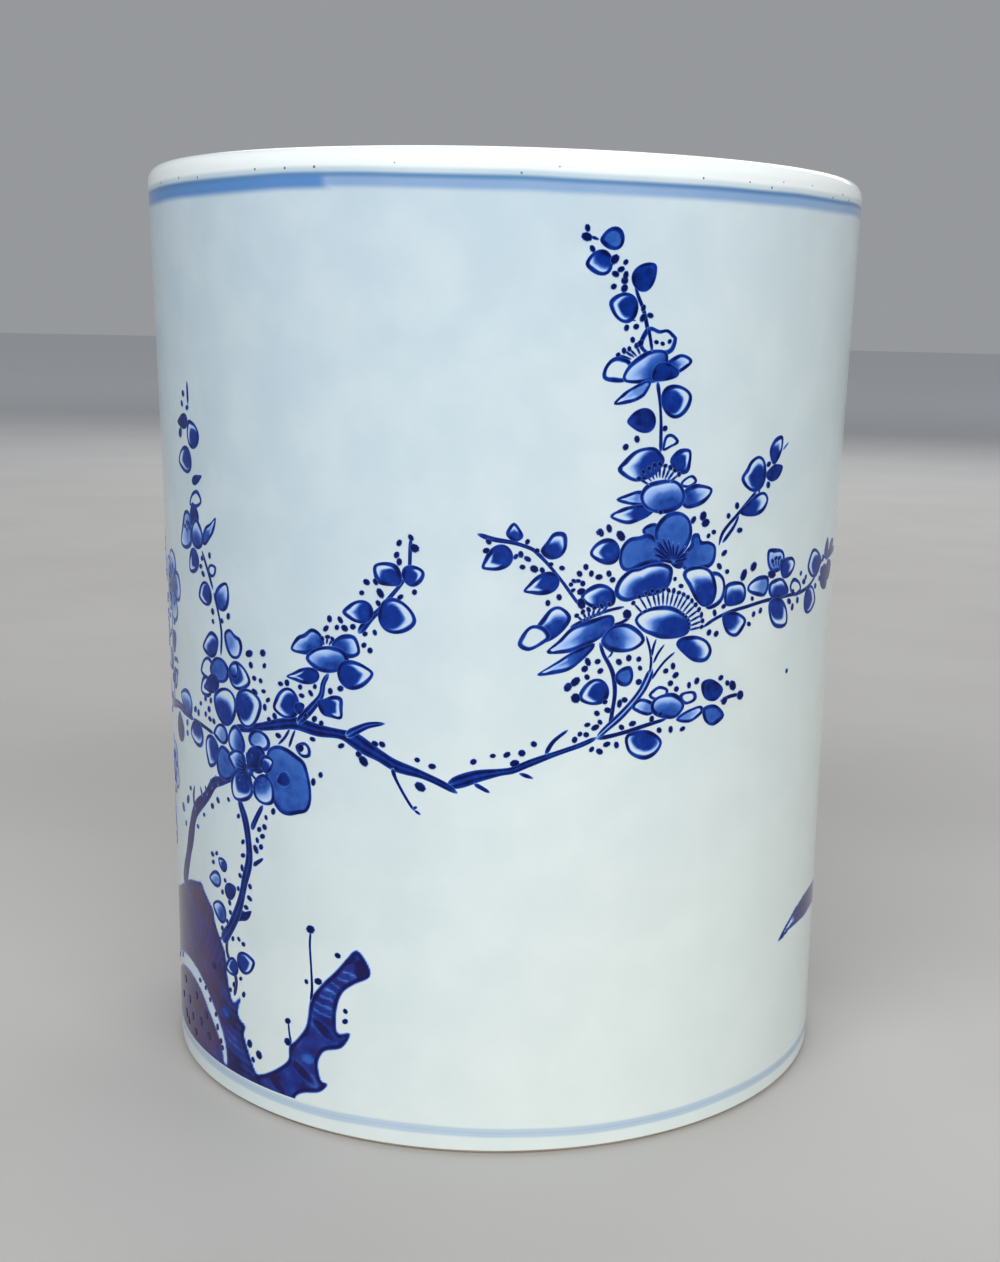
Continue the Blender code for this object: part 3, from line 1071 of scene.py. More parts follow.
        brush.sheet((-64.4, 7.1), (-29.6, 50.4), 0.42, tone)
        brush.stroke((-46.9, 52.2, 0.5), (-47.2, 48.3, 0.5), (-46.9, 42.8, 0.5), (-46.7, 37.2, 0.6),
                     (-47.2, 33.9, 0.7))
        brush.stroke((-54.2, 26.9, 0.5), (-53.9, 23.9, 0.5), (-53.3, 21.7, 0.8))
        brush.dots((-48.3, 38.8), (-44.8, 39.6, 0.9), (-39.2, 47.2), (-54.4, 21.7, 0.9), (-37.2, 33.4),
                   (-37.3, 30.8), (-46.9, 52.4, 1.0), (-54.3, 27.2, 0.8))

    def lower_branch(self) -> None:
        """The thick bough that bends down to the left behind the rock."""
        brush = self.brush
        brush.violet = 0.25
        brush.stroke((-71.5, 86, 1.6), (-77.5, 83.5, 2.2), (-81.9, 81.9, 2.6), (-86.3, 77.5, 3),
                     (-92.5, 73.1, 3.4), (-95.6, 69.4, 3.6), (-98.1, 63.8, 4), (-101.1, 57.8, 4),
                     (-103.9, 52.8, 4.4), (-106, 48, 4.8), core=0.80)
        brush.stroke((-94, 72, 1.0), (-95, 75, 1.2), (-94, 78.5, 0.7))
        brush.violet = Brush.violet
        for s, z in ((-81, 84.2), (-84, 82.6), (-87, 80.2), (-90, 79.2)):
            brush.stroke((s + 1.2, z - 2.4, 1.0), (s, z, 0.8))
        brush.dots((-83, 75.8), (-80, 78), (-75, 79.3), (-70.9, 76), (-87.9, 72.3), (-92.2, 68.1),
                   (-102.2, 66.3), (-104.5, 70, 0.9), (-97, 77), (-99.5, 73.4, 0.9))

    def main_branch(self) -> None:
        """The long bough across the front, with its fork, thorns and hanging twig."""
        brush = self.brush
        brush.stroke((22.5, 102.8, 0.9), (19, 101.3, 1), (15, 100, 1.1), (10.5, 98.5, 1.3), (6.5, 97, 1.5),
                     (3, 95.5, 1.6), (0, 95, 1.7), (-5, 94, 2.6), (-9, 92.6, 3.2), (-12, 91.5, 2.0),
                     core=0.66)
        brush.stroke((-72, 98, 1.5), (-66, 98.9, 1.9), (-60, 100.4, 2.1), (-54, 101.9, 2.6),
                     (-50, 102.5, 3.2), (-44, 101.7, 2.7), (-38, 101.5, 2.4), (-34.5, 100.6, 3.4),
                     (-31, 98.8, 3.3), (-28, 97.4, 2.9), (-24, 95.4, 2.6), (-18, 93.8, 1.8),
                     (-13, 91.8, 1.5), (-9.5, 89.8, 0.8), core=0.72)
        brush.stroke((-36.5, 101.2, 2.4), (-33.5, 103, 1.9), (-30.5, 104.4, 1.3), (-26.6, 105.1, 0.6),
                     core=0.50)
        brush.stroke((10.5, 99.2, 0.9), (12.3, 102.2, 0.8), (15.6, 104.8, 0.6))
        brush.stroke((-24.9, 94.8, 1.4), (-24.2, 92.6, 0.7), (-22.6, 89.6, 0.5), (-20.6, 86.4, 0.5),
                     (-19.4, 85, 0.7))
        brush.stroke((-20, 85.6, 0.5), (-18.9, 86, 0.6))
        brush.stroke((-19.6, 85.2, 0.6), (-18.1, 84.2, 0.5))
        brush.stroke((4.6, 94.8, 1.0), (7.8, 93.6, 0.6))
        brush.stroke((-5.7, 92.2, 1.0), (-2.1, 90.2, 0.6))
        brush.stroke((-50.6, 100.9, 0.6), (-51.6, 98.8, 0.6), (-52.6, 96.4, 0.6))
        brush.stroke((-52.2, 100.9, 0.6), (-54, 98.4, 0.6), (-56, 96.6, 0.6))
        brush.stroke((-81.3, 94.7, 0.8), (-87.5, 95.6, 0.9), (-93, 96, 0.7))
        brush.dots((3.5, 97.2, 0.8), (7.8, 101.7), (5.1, 99.6), (1.7, 99.2), (-1.5, 98.9), (-5.9, 97.4),
                   (-15.4, 95.9), (-18.9, 97.2), (-18.2, 90.9, 1.0), (-32, 95.8, 1.0), (-33.2, 97.3),
                   (-37.7, 98.8), (-29.1, 100.2), (-27.3, 100.2), (-45.5, 99.4), (-55.8, 98.8),
                   (-43.4, 91.1), (-45.5, 89.1))

    def stem_to_rock(self) -> None:
        """The stem that carries the cluster and runs down to the rock."""
        brush = self.brush
        brush.stroke((-73.6, 49.2, 2.4), (-71, 50.4, 2.6), (-68.8, 50.8, 2.0), (-66.6, 52.6, 0.7))
        brush.stroke((-70.8, 80.5, 1.8), (-68.5, 76, 2.2), (-67.5, 72, 2.2), (-67, 67.5, 2.4),
                     (-67.5, 64, 2.4), (-69, 60, 2.4), (-70, 56.7, 2.4), (-71.7, 52.2, 2.6),
                     (-75, 46.7, 3.0), (-79.6, 41.2, 3.4), core=0.70)
        brush.stroke((-61.6, 80.6, 0.9), (-64, 77, 1.4), (-66, 73.6, 1.6), core=0.7)
        brush.stroke((-65.6, 64.6, 1.1), (-61.8, 67.2, 0.7))
        brush.dots((-69.3, 69.8), (-69.4, 66.3), (-69.9, 63), (-58, 79.8), (-60.5, 77.8), (-61.1, 75.3),
                   (-63, 74.3), (-61.9, 72.8), (-63.8, 71.4), (-64.4, 69, 0.8), (-62.5, 70), (-66.9, 58.9),
                   (-67.2, 55.8), (-68.6, 53.1), (-71.7, 57.2), (-70.8, 60.8))

    def rock_sprig(self) -> None:
        """Buds and dots beside the rock."""
        brush = self.brush
        brush.bud(-78.6, 61.7, 2.0, 150, Wash.MOON, 150)
        brush.bud(-82.5, 56.9, 2.8, 190, Wash.PALE, 120, 0.78)
        brush.bud(-75.3, 55.6, 2.5, 30, Wash.DARK, 60)
        brush.bud(-80.6, 48.9, 3.2, 170, Wash.SHADED, 150)
        brush.bud(-75.3, 35.6, 2.8, 200, Wash.MOON, 180)
        brush.bud(-69.4, 38.3, 3.4, 20, Wash.MOON, 10)
        brush.dots((-83.6, 63.1), (-81.4, 63.9), (-83.3, 61.1), (-77.5, 57.8), (-78.9, 54.4), (-75.6, 52.5),
                   (-75.3, 50), (-76.9, 47.2), (-79.4, 44.7), (-71.9, 43.9), (-70, 43.1), (-74.5, 43.3),
                   (-71.4, 33.6), (-70.3, 29.7), (-76.1, 29.2), (-74.4, 31.1), (-68.2, 17.2, 1.0),
                   (-64.6, 15.3, 1.0), (-66.9, 13.3))

    def left_cluster(self) -> None:
        """The crowded blossoms at the left, where the bough meets the stem."""
        brush = self.brush
        brush.bud(-75, 129.5, 3.5, 60, Wash.SHADED, 60)
        brush.bud(-83.1, 129.1, 3.3, 200, Wash.MOON, 190)
        brush.petal(Wash.PALE, 330, (-74.6, 120.6), (-72.4, 122), (-70.2, 120.9), (-68.2, 120.2),
                    (-67.6, 118), (-69, 115.6), (-71.8, 115.2), (-74, 117.2))
        brush.petal(Wash.HALF, 130, (-85.3, 115.6), (-83.2, 118.6), (-80.6, 120.3), (-77.9, 119.4),
                    (-77.5, 117.5), (-79, 114.6), (-82, 113.8))
        brush.bud(-83.4, 110.6, 3.3, 200, Wash.BARE, 180)
        brush.bud(-84.4, 105.9, 3.0, 210, Wash.BARE, 180)
        brush.petal(Wash.MID, 320, (-82, 111), (-80, 113.6), (-77.5, 114.4), (-74.8, 113.8), (-73, 111.5),
                    (-74.5, 109), (-77.5, 108.2), (-80.6, 108.8))
        brush.bud(-69.2, 111, 3.9, 350, Wash.MOON, 340, 0.90)
        brush.bud(-71, 112.4, 2.2, 60, Wash.SHADED, 60)
        brush.bud(-81.2, 107.2, 3.6, 200, Wash.DARK, 180, 0.62)
        brush.bud(-75.6, 102.8, 4.9, 160, Wash.HALF, 70, 0.95)
        brush.bud(-66, 104, 4.9, 20, Wash.MOON, 350, 0.93)
        brush.bud(-77.6, 95.4, 3.1, 190, Wash.PALE, 160, 0.80)
        brush.bud(-71, 95, 3.6, 90, Wash.SHADED, 170, 0.92)
        brush.petal(Wash.PALE, 320, (-66.2, 96.6), (-64.6, 98.6), (-62, 99), (-59.4, 98), (-58.6, 96),
                    (-60, 94.4), (-63, 94.2), (-65.4, 94.9))
        brush.bud(-82.4, 90, 4.0, 250, Wash.HALF, 200, 0.86)
        brush.bud(-76.2, 88.2, 4.3, 110, Wash.MID, 130, 0.95)
        brush.petal(Wash.MID, 60, (-59.4, 94.4), (-56.6, 96.2), (-53.4, 96.1), (-50.4, 94.9), (-48, 93.4),
                    (-46.9, 90.5), (-46.3, 87.2), (-46.4, 84), (-47.6, 81.6), (-50.4, 80.5), (-53.2, 79.7),
                    (-55.8, 80.1), (-58, 82.2), (-59.2, 85), (-60.4, 89.5))
        brush.bleed = 0.56
        brush.bud(-54.4, 88.3, 2.2, 200, Wash.DARK, 0, 0.80, 0.72)
        brush.bleed = Brush.bleed
        brush.bud(-70.8, 90, 3.4, 170, Wash.SHADED, 160, 0.80)
        brush.bud(-63.4, 91.8, 3.6, 60, Wash.DARK, 60, 0.90)
        brush.bud(-59.9, 91.2, 2.4, 20, Wash.HALF, 60)
        brush.bud(-61, 84.4, 3.9, 320, Wash.SHADED, 300, 0.93)
        brush.bud(-69.6, 83.8, 4.4, 230, Wash.MOON, 240, 0.93)
        brush.bud(-66.3, 88.2, 1.5, 0, Wash.DARK, 0)
        for way in (20, 75, 100, 128, 148, 166, 184, 202, 222, 248, 285, 325):
            turn = math.radians(way)
            far = (-66.3 + 5.2 * math.cos(turn), 88.2 + 4.6 * math.sin(turn))
            brush.stroke((-66.3, 88.2, 0.6), far, layer=Layer.STAMEN, width=0.42)
        brush.petal(Wash.BARE, 0, (-50.5, 97), (-48, 98.3), (-46.3, 97), (-46.5, 95), (-49, 94.8))
        brush.bud(-97.8, 99.4, 4.5, 165, Wash.SHADED, 90, 0.75)
        brush.bud(-90.9, 92.8, 3.9, 190, Wash.HALF, 260)
        brush.violet = 0.6
        brush.bud(-104.7, 91.3, 3.8, 100, Wash.DARK, 90)
        brush.violet = Brush.violet
        brush.stroke((-78.8, 130, 0.8), (-76.9, 125, 0.7), (-75.9, 120.6, 0.7), (-76.5, 115, 0.7))
        brush.dots((-49, 96.8, 0.9), (-72.6, 125.1), (-79.5, 125.3), (-79.5, 122.9), (-75.4, 123.6),
                   (-84.8, 102.9), (-82, 102.9), (-87.7, 101.1), (-83.1, 100.5), (-89.3, 98.4),
                   (-91.3, 98.9), (-85, 98.9), (-82.8, 98.1), (-80.8, 97.9), (-98, 91.3), (-97.8, 94.1))

    def tall_sprig(self) -> None:
        """The upright sprig at the far left, with its blossom half way up."""
        brush = self.brush
        brush.stroke((-84, 139.5, 0.8), (-81.3, 135, 0.8), (-79, 130.6, 0.8))
        brush.stroke((-88.4, 179.3, 0.8), (-88.4, 173.8, 0.9))
        brush.bud(-91.9, 169.7, 2.8, 185, Wash.DARK, 180, 0.65)
        brush.bud(-86.6, 166.9, 3.5, 120, Wash.MOON, 130)
        brush.bud(-91.6, 160.6, 3.8, 190, Wash.MOON, 200)
        brush.bud(-85.6, 156.3, 2.2, 20, Wash.DARK, 0, 0.5)
        brush.petal(Wash.BARE, 0, (-89.7, 150), (-88.1, 152.8), (-85, 153.8), (-83.1, 151.3), (-86, 149.6))
        brush.petal(Wash.PALE, 180, (-96.9, 140), (-95.6, 143.8), (-93.8, 147.5), (-91.9, 148.4),
                    (-90, 147.5), (-89.3, 143), (-90, 140), (-93.8, 138.8))
        brush.stamens((-89.5, 141.5), (-93.3, 144.4), (-91.9, 145.4), (-90.6, 145.3))
        brush.bud(-87.5, 147.5, 2.9, 100, Wash.DARK, 90)
        brush.bud(-86.3, 143.1, 3.6, 90, Wash.SHADED, 80)
        brush.petal(Wash.SHADED, 60, (-83.8, 141.9), (-82.6, 144.2), (-81.3, 145.6), (-79, 146.6),
                    (-76.6, 148.1), (-77.6, 145), (-80, 142.5), (-82.2, 141))
        brush.bud(-88.8, 136.3, 3.2, 225, Wash.MOON, 220)
        brush.bud(-79.1, 135.3, 1.8, 30, Wash.BARE, 0)
        brush.dots((-90.9, 176.3), (-91.9, 173.9), (-88.8, 173.1), (-93.8, 166.9, 0.9), (-83.8, 137.7),
                   (-84.7, 135.6), (-83.6, 133.9), (-80, 138.8))

    def middle_sprig(self) -> None:
        """The sprig that rises from the bough at the left of the front."""
        brush = self.brush
        brush.stroke((-20.3, 148, 0.6), (-20.5, 145, 0.7), (-20.8, 140.5, 0.7), (-22.5, 137.5, 0.7),
                     (-25, 134.5, 0.8), (-27.5, 131.5, 1.1), (-30, 129, 1.4), (-33, 125.5, 1.7), core=0.60)
        brush.stroke((-40.8, 115.5, 1.0), (-42.3, 113, 1.2), (-43, 110, 1.5), (-45.5, 107, 1.8),
                     (-48, 104.5, 2.0), (-50, 102.6, 2.0), core=0.52)
        brush.petal(Wash.MOON, 120, (-28.9, 141.2), (-26.4, 142), (-23.8, 141.6), (-22.6, 139.6),
                    (-22.8, 137.2), (-25.4, 136.8), (-28, 137.2), (-29, 139))
        brush.bud(-19.8, 139.4, 2.5, 20, Wash.MOON, 10, 0.95)
        brush.bud(-32.8, 130.4, 3.4, 185, Wash.HALF, 170, 0.78)
        brush.bud(-23.7, 129.9, 4.3, 350, Wash.MOON, 10, 0.93)
        brush.bud(-47.2, 114.2, 4.0, 188, Wash.MOON, 180, 0.46)
        brush.petal(Wash.MOON, 0, (-44, 108.6), (-42, 109.4), (-39.6, 110.4), (-37.4, 110), (-37.3, 107.4),
                    (-37.6, 105.2), (-40, 105.2), (-42.8, 105.8))
        brush.bud(-53.1, 106.8, 4.1, 200, Wash.MOON, 170, 0.84)
        brush.bud(-49.2, 106.4, 1.5, 30, Wash.DARK, 0)
        brush.petal(Wash.SHADED, 140, (-51.3, 120), (-49.5, 123), (-47.5, 124), (-45, 125.5), (-42.5, 124),
                    (-42.6, 121), (-44.8, 119.6), (-48, 119.3))
        brush.petal(Wash.SHADED, 20, (-39.5, 121.5), (-39.5, 123), (-37, 124.8), (-34, 124.8),
                    (-32.8, 122.5), (-33, 120.5), (-36, 119.6))
        brush.petal(Wash.SHADED, 110, (-47, 118.3), (-45, 120.5), (-41, 121.8), (-37.5, 121.5), (-35.8, 120),
                    (-35.8, 117.5), (-40, 115.8), (-44, 116))
        brush.bud(-34.2, 115.8, 4.2, 10, Wash.MOON, 20, 0.80)
        brush.stamens((-41.5, 120.5), (-42.3, 123.4), (-40.9, 124), (-39.6, 123.6))
        brush.dots((-20.3, 147.8), (-19.5, 145.5, 0.9), (-23, 146.5), (-23.6, 143.8), (-23, 142.3),
                   (-30.8, 137.3), (-28.6, 137.5), (-27.5, 135, 0.8), (-32, 134.8), (-28, 132.7),
                   (-19.5, 135.7), (-22.8, 134.4), (-40.3, 128.2), (-37.5, 128.2), (-41.3, 125.9),
                   (-38.4, 126.4), (-36.4, 126.4), (-34.3, 126.9), (-28.9, 126), (-31.3, 125.5),
                   (-31.6, 122.9), (-30.1, 121.8), (-54.7, 111.4), (-52.7, 111.9), (-48.8, 111.4),
                   (-44.6, 112), (-45.8, 110.3), (-48.4, 109.4), (-40.4, 111.4), (-37.7, 112.3),
                   (-47.3, 104.8), (-44.9, 104.3), (-43, 103.5), (-56.8, 103.3), (-58.7, 102.2),
                   (-58.9, 106.9), (-60.3, 108.8), (-63.4, 108.2), (-61.2, 111.2), (-63.4, 111.5),
                   (-64.5, 114.5), (-65, 117.2, 0.9), (-60.2, 118, 0.8), (-59.8, 115), (-60, 105))

    def small_left_sprig(self) -> None:
        """The thin sprig that reaches left from the blossoms."""
        brush = self.brush
        brush.stroke((-5.5, 149.1, 0.9), (-2, 148, 0.9), (2.5, 147.3, 0.8), (6.5, 146, 0.7), (8, 144.8, 0.7),
                     (10, 142.8, 0.6), (13, 139.3, 0.6), (15.5, 136, 0.6), (17.5, 133.3, 0.6), core=0.7)
        brush.petal(Wash.HALF, 90, (0.9, 148.9), (1.2, 150.4), (2.5, 151.7), (3.9, 150.2), (4.5, 148.6),
                    (2.8, 147.6))
        brush.bud(-0.9, 143.8, 3.5, 212, Wash.MOON, 212, 0.72)
        brush.petal(Wash.HALF, 70, (8.5, 145.5), (9.8, 147.6), (11.4, 149.6), (13.9, 149.4), (14.2, 146.4),
                    (12.9, 144.3), (10.4, 143.8))
        brush.bud(9.3, 138.2, 3.7, 200, Wash.MOON, 190, 0.62)
        brush.dots((5.5, 147.6), (7.6, 145.6, 0.5), (3, 144.3, 0.45), (5.6, 143.8), (4.1, 144.8), (4.5, 142),
                   (7.1, 141.6, 0.8), (8.9, 141.3), (10.7, 142.6, 0.45), (13.3, 141.8), (17.3, 140.5),
                   (18.7, 142), (20, 140.5), (21.8, 139.7), (24.1, 140.4), (25, 139), (21.5, 149.6),
                   (12.8, 135.3), (10.3, 134), (-3, 147.5), (-3.5, 145.5), (16.1, 138.9, 0.4),
                   (17, 138.9, 0.4), (15.4, 138.1, 0.4), (15.9, 136.8, 0.4), (18.1, 138.3, 0.5),
                   (17.8, 136.5, 0.8), (17.9, 133.8, 1.0))

    def top_sprig(self) -> None:
        """The tip of the tree, high on the right of the front."""
        brush = self.brush
        brush.stroke((17.5, 212.3, 0.5), (19.5, 211.7, 0.6))
        brush.stroke((27.8, 202.5, 0.6), (28.8, 200, 0.7), (30, 197.5, 0.7), (31, 194, 0.8), (32, 190, 0.8))
        brush.bud(22.5, 212, 2.6, 188, Wash.MID, 330)
        brush.bud(19.8, 207, 2.9, 188, Wash.HALF, 235)
        brush.bud(30, 204.5, 3.1, 45, Wash.DARK, 60)
        brush.bud(25.5, 198, 3.3, 165, Wash.MOON, 190, 0.9)
        brush.stroke((25.6, 195.8, 0.6), (28.3, 195.2, 0.4))
        brush.dots((16.9, 214), (16.8, 212.2, 0.9), (18.1, 209.8), (23, 207.8, 0.9), (25.5, 207.3),
                   (24.5, 205.8), (23.3, 204.8), (25.6, 204.6), (25.4, 203.5), (23, 202.2), (25.4, 201.9),
                   (29.9, 197.9), (29.9, 195.9), (31.6, 196.4), (26.2, 193.7), (28.4, 194), (27.7, 191.2),
                   (29.5, 190.5))

    def first_blossom(self) -> None:
        """The blossom under the tip of the tree."""
        brush = self.brush
        brush.petal(Wash.BARE, 90, (29.3, 190), (30.5, 193.3), (32, 194), (34, 193.3), (36, 193.5),
                    (37.5, 192.5), (38.3, 191.5), (37, 188.6), (32, 188))
        brush.petal(Wash.BARE, 170, (21.3, 183), (21.5, 185), (23, 187), (25, 187.6), (27.5, 186.5),
                    (27.6, 183.6), (26, 182.3), (23, 182.3))
        brush.petal(Wash.SHADED, 20, (35.4, 185), (36, 186.5), (39.5, 188.3), (42.5, 187), (40.5, 185),
                    (36.5, 183.3))
        brush.petal(Wash.SHADED, 150, (26, 182.5), (26.5, 185), (29, 187.5), (32, 189), (35.5, 189),
                    (36.3, 187.5), (36, 184.6), (34, 182.5), (30, 182.0))
        brush.petal(Wash.PALE, 230, (24, 177.5), (25.4, 179.2), (27, 180.5), (31, 182.5), (32.5, 182.5),
                    (31.8, 180.6), (30.5, 179), (27.5, 177.8))
        brush.petal(Wash.DARK, 60, (32.6, 184), (33.8, 186.2), (36.4, 186.4), (39.2, 184.8), (38.6, 183.4),
                    (35.6, 182.6), (33, 182.6))
        brush.stroke((31.2, 194, 0.7), (31.8, 191.6, 0.7), (32.4, 188.8, 0.7), layer=Layer.STAMEN)
        brush.stamens((30.6, 186.2), (24.5, 188), (25.8, 188.9), (27, 189.3), (28.6, 190))
        brush.dots((33.3, 190.8, 0.45), (34.8, 190.5, 0.45), (36.5, 191, 0.45))
        brush.stroke((34, 182.5, 0.9), (34.8, 178, 0.6), (35.3, 173.5, 0.6), (35.5, 167, 0.8))
        brush.bud(39, 178.3, 3.8, 20, Wash.MOON, 10, 0.95)
        brush.bud(30.8, 174, 3.2, 185, Wash.DARK, 200, 0.8)
        brush.petal(Wash.BARE, 0, (36, 167.5), (36.5, 170.5), (38.3, 171), (40, 169.3), (38, 168.2))
        brush.dots((36.3, 172.3), (29.6, 170), (27, 168.3))

    def second_blossom(self) -> None:
        """The blossom at two thirds of the height."""
        brush = self.brush
        brush.petal(Wash.HALF, 160, (25.5, 163), (26.5, 165), (29.5, 167.5), (33.5, 168.2), (35.5, 167),
                    (36.5, 165), (34, 162), (29.5, 160.8))
        brush.petal(Wash.MOON, 20, (38, 165), (39.5, 167.2), (41.3, 167.8), (43.2, 167.4), (43.4, 165),
                    (42.8, 162.6), (40.4, 162.4))
        brush.petal(Wash.BARE, 60, (41, 159.6), (41.5, 160.8), (44, 161.9), (45.3, 160.4), (43, 159.2))
        brush.petal(Wash.SHADED, 30, (42, 158.5), (44, 159.6), (46, 159.8), (49.8, 158.5), (47.5, 155.5),
                    (43, 154.5), (41.2, 156.4))
        brush.petal(Wash.PALE, 180, (25.3, 156.8), (28, 158), (31, 158.7), (33, 157.2), (32.5, 155.5),
                    (28, 155.8))
        brush.petal(Wash.HALF, 180, (24, 153), (25.8, 154.4), (28, 155.2), (32, 155.6), (35, 155),
                    (33.6, 153.4), (31.5, 152.3), (28, 151.4))
        brush.petal(Wash.SHADED, 110, (31, 158), (33, 160.3), (37.5, 161), (40.5, 160.3), (42.3, 157.6),
                    (41.4, 155), (38, 153.6), (34, 154), (31.6, 155.6))
        brush.stamens((35.6, 158.6), (30.4, 161.4), (31.4, 162.9), (32.8, 163.6), (34.1, 164.3),
                      (35.4, 164.5), (36.8, 164.1), (38.1, 163.7), (39.3, 163.1), (40.4, 162.2))
        brush.dots((36.1, 153.9), (47.5, 152.6, 0.85), (44.8, 151.8), (48.3, 151, 0.85), (23.8, 150.5),
                   (21.9, 149.6), (26.6, 148.8, 0.95), (50.8, 148.8), (49.3, 148, 0.5), (57.5, 154.5),
                   (55, 152.3), (58.8, 148.8))

    def open_blossom(self) -> None:
        """The large open blossom in the middle of the group."""
        brush = self.brush
        brush.petal(Wash.MID, 0, (42, 142), (43, 144.6), (44.4, 146.2), (44.8, 148.4), (46.6, 148.6),
                    (47.4, 146.9), (49.6, 146.7), (51.6, 145.4), (51.6, 142.4), (50.2, 140.8), (47, 140.2),
                    (43.6, 140.4))
        brush.petal(Wash.MID, 120, (31.8, 150), (33.4, 151.2), (35.4, 151.2), (37, 149), (35, 147.4),
                    (32.6, 148.6))
        brush.petal(Wash.MID, 180, (26.4, 143.8), (27, 146.4), (28.8, 148.2), (31.4, 148.6), (33.2, 149.2),
                    (35.6, 147.8), (38.2, 145), (38.6, 142.8), (35, 142.4), (31.6, 141.6), (28.6, 140.8),
                    (27, 141.6))
        brush.petal(Wash.MID, 90, (37.4, 144.2), (35.2, 147.4), (34.9, 150), (36.2, 152.2), (38.4, 153.6),
                    (41.2, 153.7), (43.6, 152.2), (44.6, 149.6), (44.2, 147), (42.6, 144.6), (40.6, 142.8))
        brush.bud(40.6, 142.6, 2.3, 150, Wash.DARK, 90, 0.55)
        for tip in ((34.6, 144.6), (34.4, 146.2), (35.4, 147.6), (36.8, 148.2), (38.2, 148), (39.6, 147),
                    (41.2, 146.8), (43, 146), (43.8, 144.6), (44, 143.2), (36, 143.2)):
            brush.stroke((40, 142.4, 0.7), tip, layer=Layer.STAMEN, width=0.45)
        brush.petal(Wash.BARE, 20, (49, 138.6), (52, 139.6), (54.4, 138.2), (55.2, 135.4), (54.4, 132.6),
                    (52, 131.2), (49.6, 131.6))
        brush.petal(Wash.HALF, 110, (42.7, 139.4), (44, 140.9), (47.5, 141.1), (50.3, 140.1), (51.9, 138),
                    (52.6, 135), (51.6, 132.4), (49, 131.7), (46.6, 133.4), (44.6, 136.4))
        brush.petal(Wash.HALF, 140, (17.8, 135), (19, 136.9), (21.5, 138.1), (24, 137.6), (25.7, 135.8),
                    (25.5, 133.4), (23, 132.9), (20.3, 132.9))
        brush.petal(Wash.HALF, 120, (25.6, 136.4), (26.6, 139), (29, 141), (31.4, 141.4), (34, 142.2),
                    (37.4, 142.3), (39.7, 141.2), (39.8, 139), (39, 137), (36.5, 135.4), (32, 134.8),
                    (28.6, 134), (26.4, 134.8))
        brush.bud(23.2, 145.3, 3.3, 188, Wash.MOON, 170, 0.88)
        brush.dots((42.3, 136.9, 0.5), (40.6, 138.6, 0.4))

    def fan_blossom(self) -> None:
        """The blossom seen from the side, with its stamens in a fan."""
        brush = self.brush
        brush.petal(Wash.HALF, 30, (41.8, 123.3), (43, 124.8), (47, 125), (50.5, 123.5), (52, 121),
                    (50.5, 118.8), (47, 119), (44, 121))
        brush.petal(Wash.HALF, 120, (30.8, 129.6), (32.5, 131.5), (36, 132.5), (40, 132.3), (43.5, 130.5),
                    (45.3, 128.5), (45, 126), (42.5, 125), (38, 125), (35, 126), (32.5, 127.3))
        brush.stamens((38, 125.6), (30.2, 133.6), (31.6, 135), (33.2, 135.7), (34.8, 136.2), (36.2, 136),
                      (37.6, 136.3), (39, 136.1), (40.4, 135.9), (41.8, 135.4), (43.1, 134.9), (44.3, 134.2),
                      (45.5, 133.3), (46.6, 132.3), (47.6, 131.1), (48.4, 129.8), (48.8, 128.4),
                      (48.6, 127), width=0.42, clear=0.66)

    def left_blossom(self) -> None:
        """The blossom that opens to the left, with two long petals."""
        brush = self.brush
        brush.petal(Wash.HALF, 120, (7.6, 127.8), (9.2, 130.6), (11.2, 132.8), (13.4, 133), (15.6, 130.8),
                    (14.2, 128), (11.2, 125.6), (8.6, 125.2))
        brush.petal(Wash.BARE, 190, (3.8, 124.5), (5, 127.3), (7, 128.9), (9.8, 128.4), (11, 126.2),
                    (8.8, 124.4), (6, 123.2))
        brush.petal(Wash.SHADED, 160, (10.3, 123), (13, 125.5), (16, 128.5), (20, 130), (25, 131),
                    (25.5, 128.5), (22, 125.5), (16.5, 123), (11.5, 122.5))
        brush.petal(Wash.SHADED, 190, (8.3, 117.8), (12.5, 120.5), (16.5, 123), (21, 124.7), (21, 123.5),
                    (18, 120.5), (15, 118.5), (10, 117.6))
        brush.petal(Wash.SHADED, 10, (22.8, 125.2), (25, 128.2), (28.8, 128.9), (32, 127.2), (33.4, 124.8),
                    (31, 122.9), (27.5, 122.4), (24.4, 123.2))
        brush.stroke((15.5, 128.5, 0.6), (20, 130.6, 0.6), (24, 132, 0.6), (28, 132.8, 0.6),
                     layer=Layer.STAMEN)
        brush.stroke((25.5, 128.8, 0.6), (27.4, 129.2, 0.6), (29.5, 130.3, 0.6), layer=Layer.STAMEN)
        brush.stamens((20, 128.4), (16.9, 131.1), (18.3, 131.9), (19.6, 132.4), (21, 132.8), (22.6, 133.2),
                      (24.4, 133.5))
        brush.dots((28.8, 131.1, 0.9))

